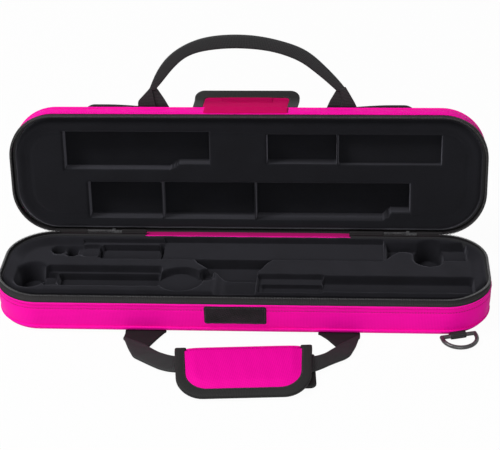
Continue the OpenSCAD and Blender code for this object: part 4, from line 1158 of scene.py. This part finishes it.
pocket_bag = hump("pocket_bag_cloth", *POCKET[:3], on_leaning_pocket, bag, 2.0,
                  (-149, 149), (-43.5, 43.5), base=0.0)
finish(pocket_bag, pink_nylon, "lid", "cover_fabric", "pocket_bag")
pocket_path = rim(POCKET[0] / 2, POCKET[1] / 2, POCKET[2])
pocket_cord = around("pocket_piping_cord", circle(-1.4, POCKET[3] + 0.9, 1.4), on_leaning_pocket,
                     path=pocket_path)
finish(pocket_cord, binding_tape, "lid", "binding", "pocket_piping")
zip_mid = POCKET[1] / 2 - 9
edges = [np.column_stack([np.linspace(-125, 125, 40), np.full(40, zip_mid + y),
                          np.full(40, POCKET[3] + 0.45)]) for y in (4, -4)]
finish(ribbon("pocket_zip_tape", *edges, 0.9, on_pocket), zip_cloth, "lid", "zip_tape", "pocket_zip")
x = np.arange(-124, 124, 1.35)
centre = np.column_stack([x, np.full(len(x), zip_mid), np.full(len(x), POCKET[3] + 0.9)])
coil_row = beads("pocket_coil", centre, np.tile([0.0, 1.0, 0.0], (len(x), 1)), np.tile(UP, (len(x), 1)),
                 (2.4, 0.9, 0.5), on_pocket)
finish(coil_row, teeth_nylon, "lid", "zip_teeth")


# ---- floor, light and camera ----

FLOOR_GLOW = 0.97
WORLD_LEVEL = 0.24


def studio():
    """White sweep: the floor keeps the object's shadow, and shows white to the camera and in reflections."""
    bpy.ops.mesh.primitive_plane_add(size=40, location=(0, 0, -0.2 * MM))
    floor = bpy.context.object
    floor.name = "studio_floor"
    material, tree, shader = new_material("pale_floor")
    shader.inputs["Base Color"].default_value = (0.6, 0.6, 0.6, 1)
    shader.inputs["Roughness"].default_value = 1.0
    shader.inputs["Specular IOR Level"].default_value = 0.0
    glow = tree.nodes.new("ShaderNodeEmission")
    path = tree.nodes.new("ShaderNodeLightPath")
    seen = sums(tree, "MAXIMUM", path.outputs["Is Camera Ray"],
                sums(tree, "MAXIMUM", path.outputs["Is Glossy Ray"], path.outputs["Is Transmission Ray"]))
    mix = tree.nodes.new("ShaderNodeMixShader")
    tree.links.new(sums(tree, "MULTIPLY", seen, FLOOR_GLOW), mix.inputs[0])
    tree.links.new(shader.outputs[0], mix.inputs[1])
    tree.links.new(glow.outputs[0], mix.inputs[2])
    tree.links.new(mix.outputs[0], tree.nodes["Material Output"].inputs["Surface"])
    floor.data.materials.append(material)

    world = bpy.data.worlds.new("studio")
    bpy.context.scene.world = world
    world.use_nodes = True
    tree = world.node_tree
    background = tree.nodes["Background"]
    background.inputs["Color"].default_value = (1, 1, 1, 1)
    path = tree.nodes.new("ShaderNodeLightPath")
    seen = sums(tree, "MAXIMUM", path.outputs["Is Camera Ray"], path.outputs["Is Glossy Ray"])
    strength = sums(tree, "MULTIPLY_ADD", seen, 1 - WORLD_LEVEL, WORLD_LEVEL)
    tree.links.new(strength, background.inputs["Strength"])


def lamp(name, location, size, power):
    """Round soft lamp aimed at the middle of the case."""
    light = bpy.data.lights.new(name, "AREA")
    light.shape = "DISK"
    light.size = size
    light.energy = power
    obj = bpy.data.objects.new(name, light)
    obj.location = location
    obj.rotation_mode = "QUATERNION"
    obj.rotation_quaternion = (Vector((0, 0, 0.05)) - Vector(location)).to_track_quat("-Z", "Y")
    bpy.context.scene.collection.objects.link(obj)


studio()
lamp("key", (-1.25, -0.35, 1.8), 0.9, 43)
lamp("fill", (0.1, -2.4, 0.8), 1.4, 29)


CAMERA_TURN = (4.47, 30.58, -1.79)
CAMERA_TARGET = (6.826, 0, 73.31)
CAMERA_DISTANCE = 1258.6
CAMERA_LENS = 107.28


def photo_camera():
    """The photograph's view: turned by azimuth, elevation and roll in degrees, and aimed at a point over the
    tray from a distance."""
    azimuth, elevation, roll = (math.radians(v) for v in CAMERA_TURN)
    target = np.array(CAMERA_TARGET) * MM
    back = np.array([math.sin(azimuth) * math.cos(elevation), -math.cos(azimuth) * math.cos(elevation),
                     math.sin(elevation)])
    right = np.array([math.cos(azimuth), math.sin(azimuth), 0])
    up = np.cross(back, right)
    data = bpy.data.cameras.new("camera")
    data.sensor_width = 36
    data.lens = CAMERA_LENS
    camera = bpy.data.objects.new("camera", data)
    matrix = np.eye(4)
    matrix[:3, 0] = right * math.cos(roll) + up * math.sin(roll)
    matrix[:3, 1] = up * math.cos(roll) - right * math.sin(roll)
    matrix[:3, 2], matrix[:3, 3] = back, target + back * CAMERA_DISTANCE * MM
    camera.matrix_world = Matrix(matrix.tolist())
    bpy.context.scene.collection.objects.link(camera)
    bpy.context.scene.camera = camera


photo_camera()
bpy.context.scene.view_settings.view_transform = "Standard"
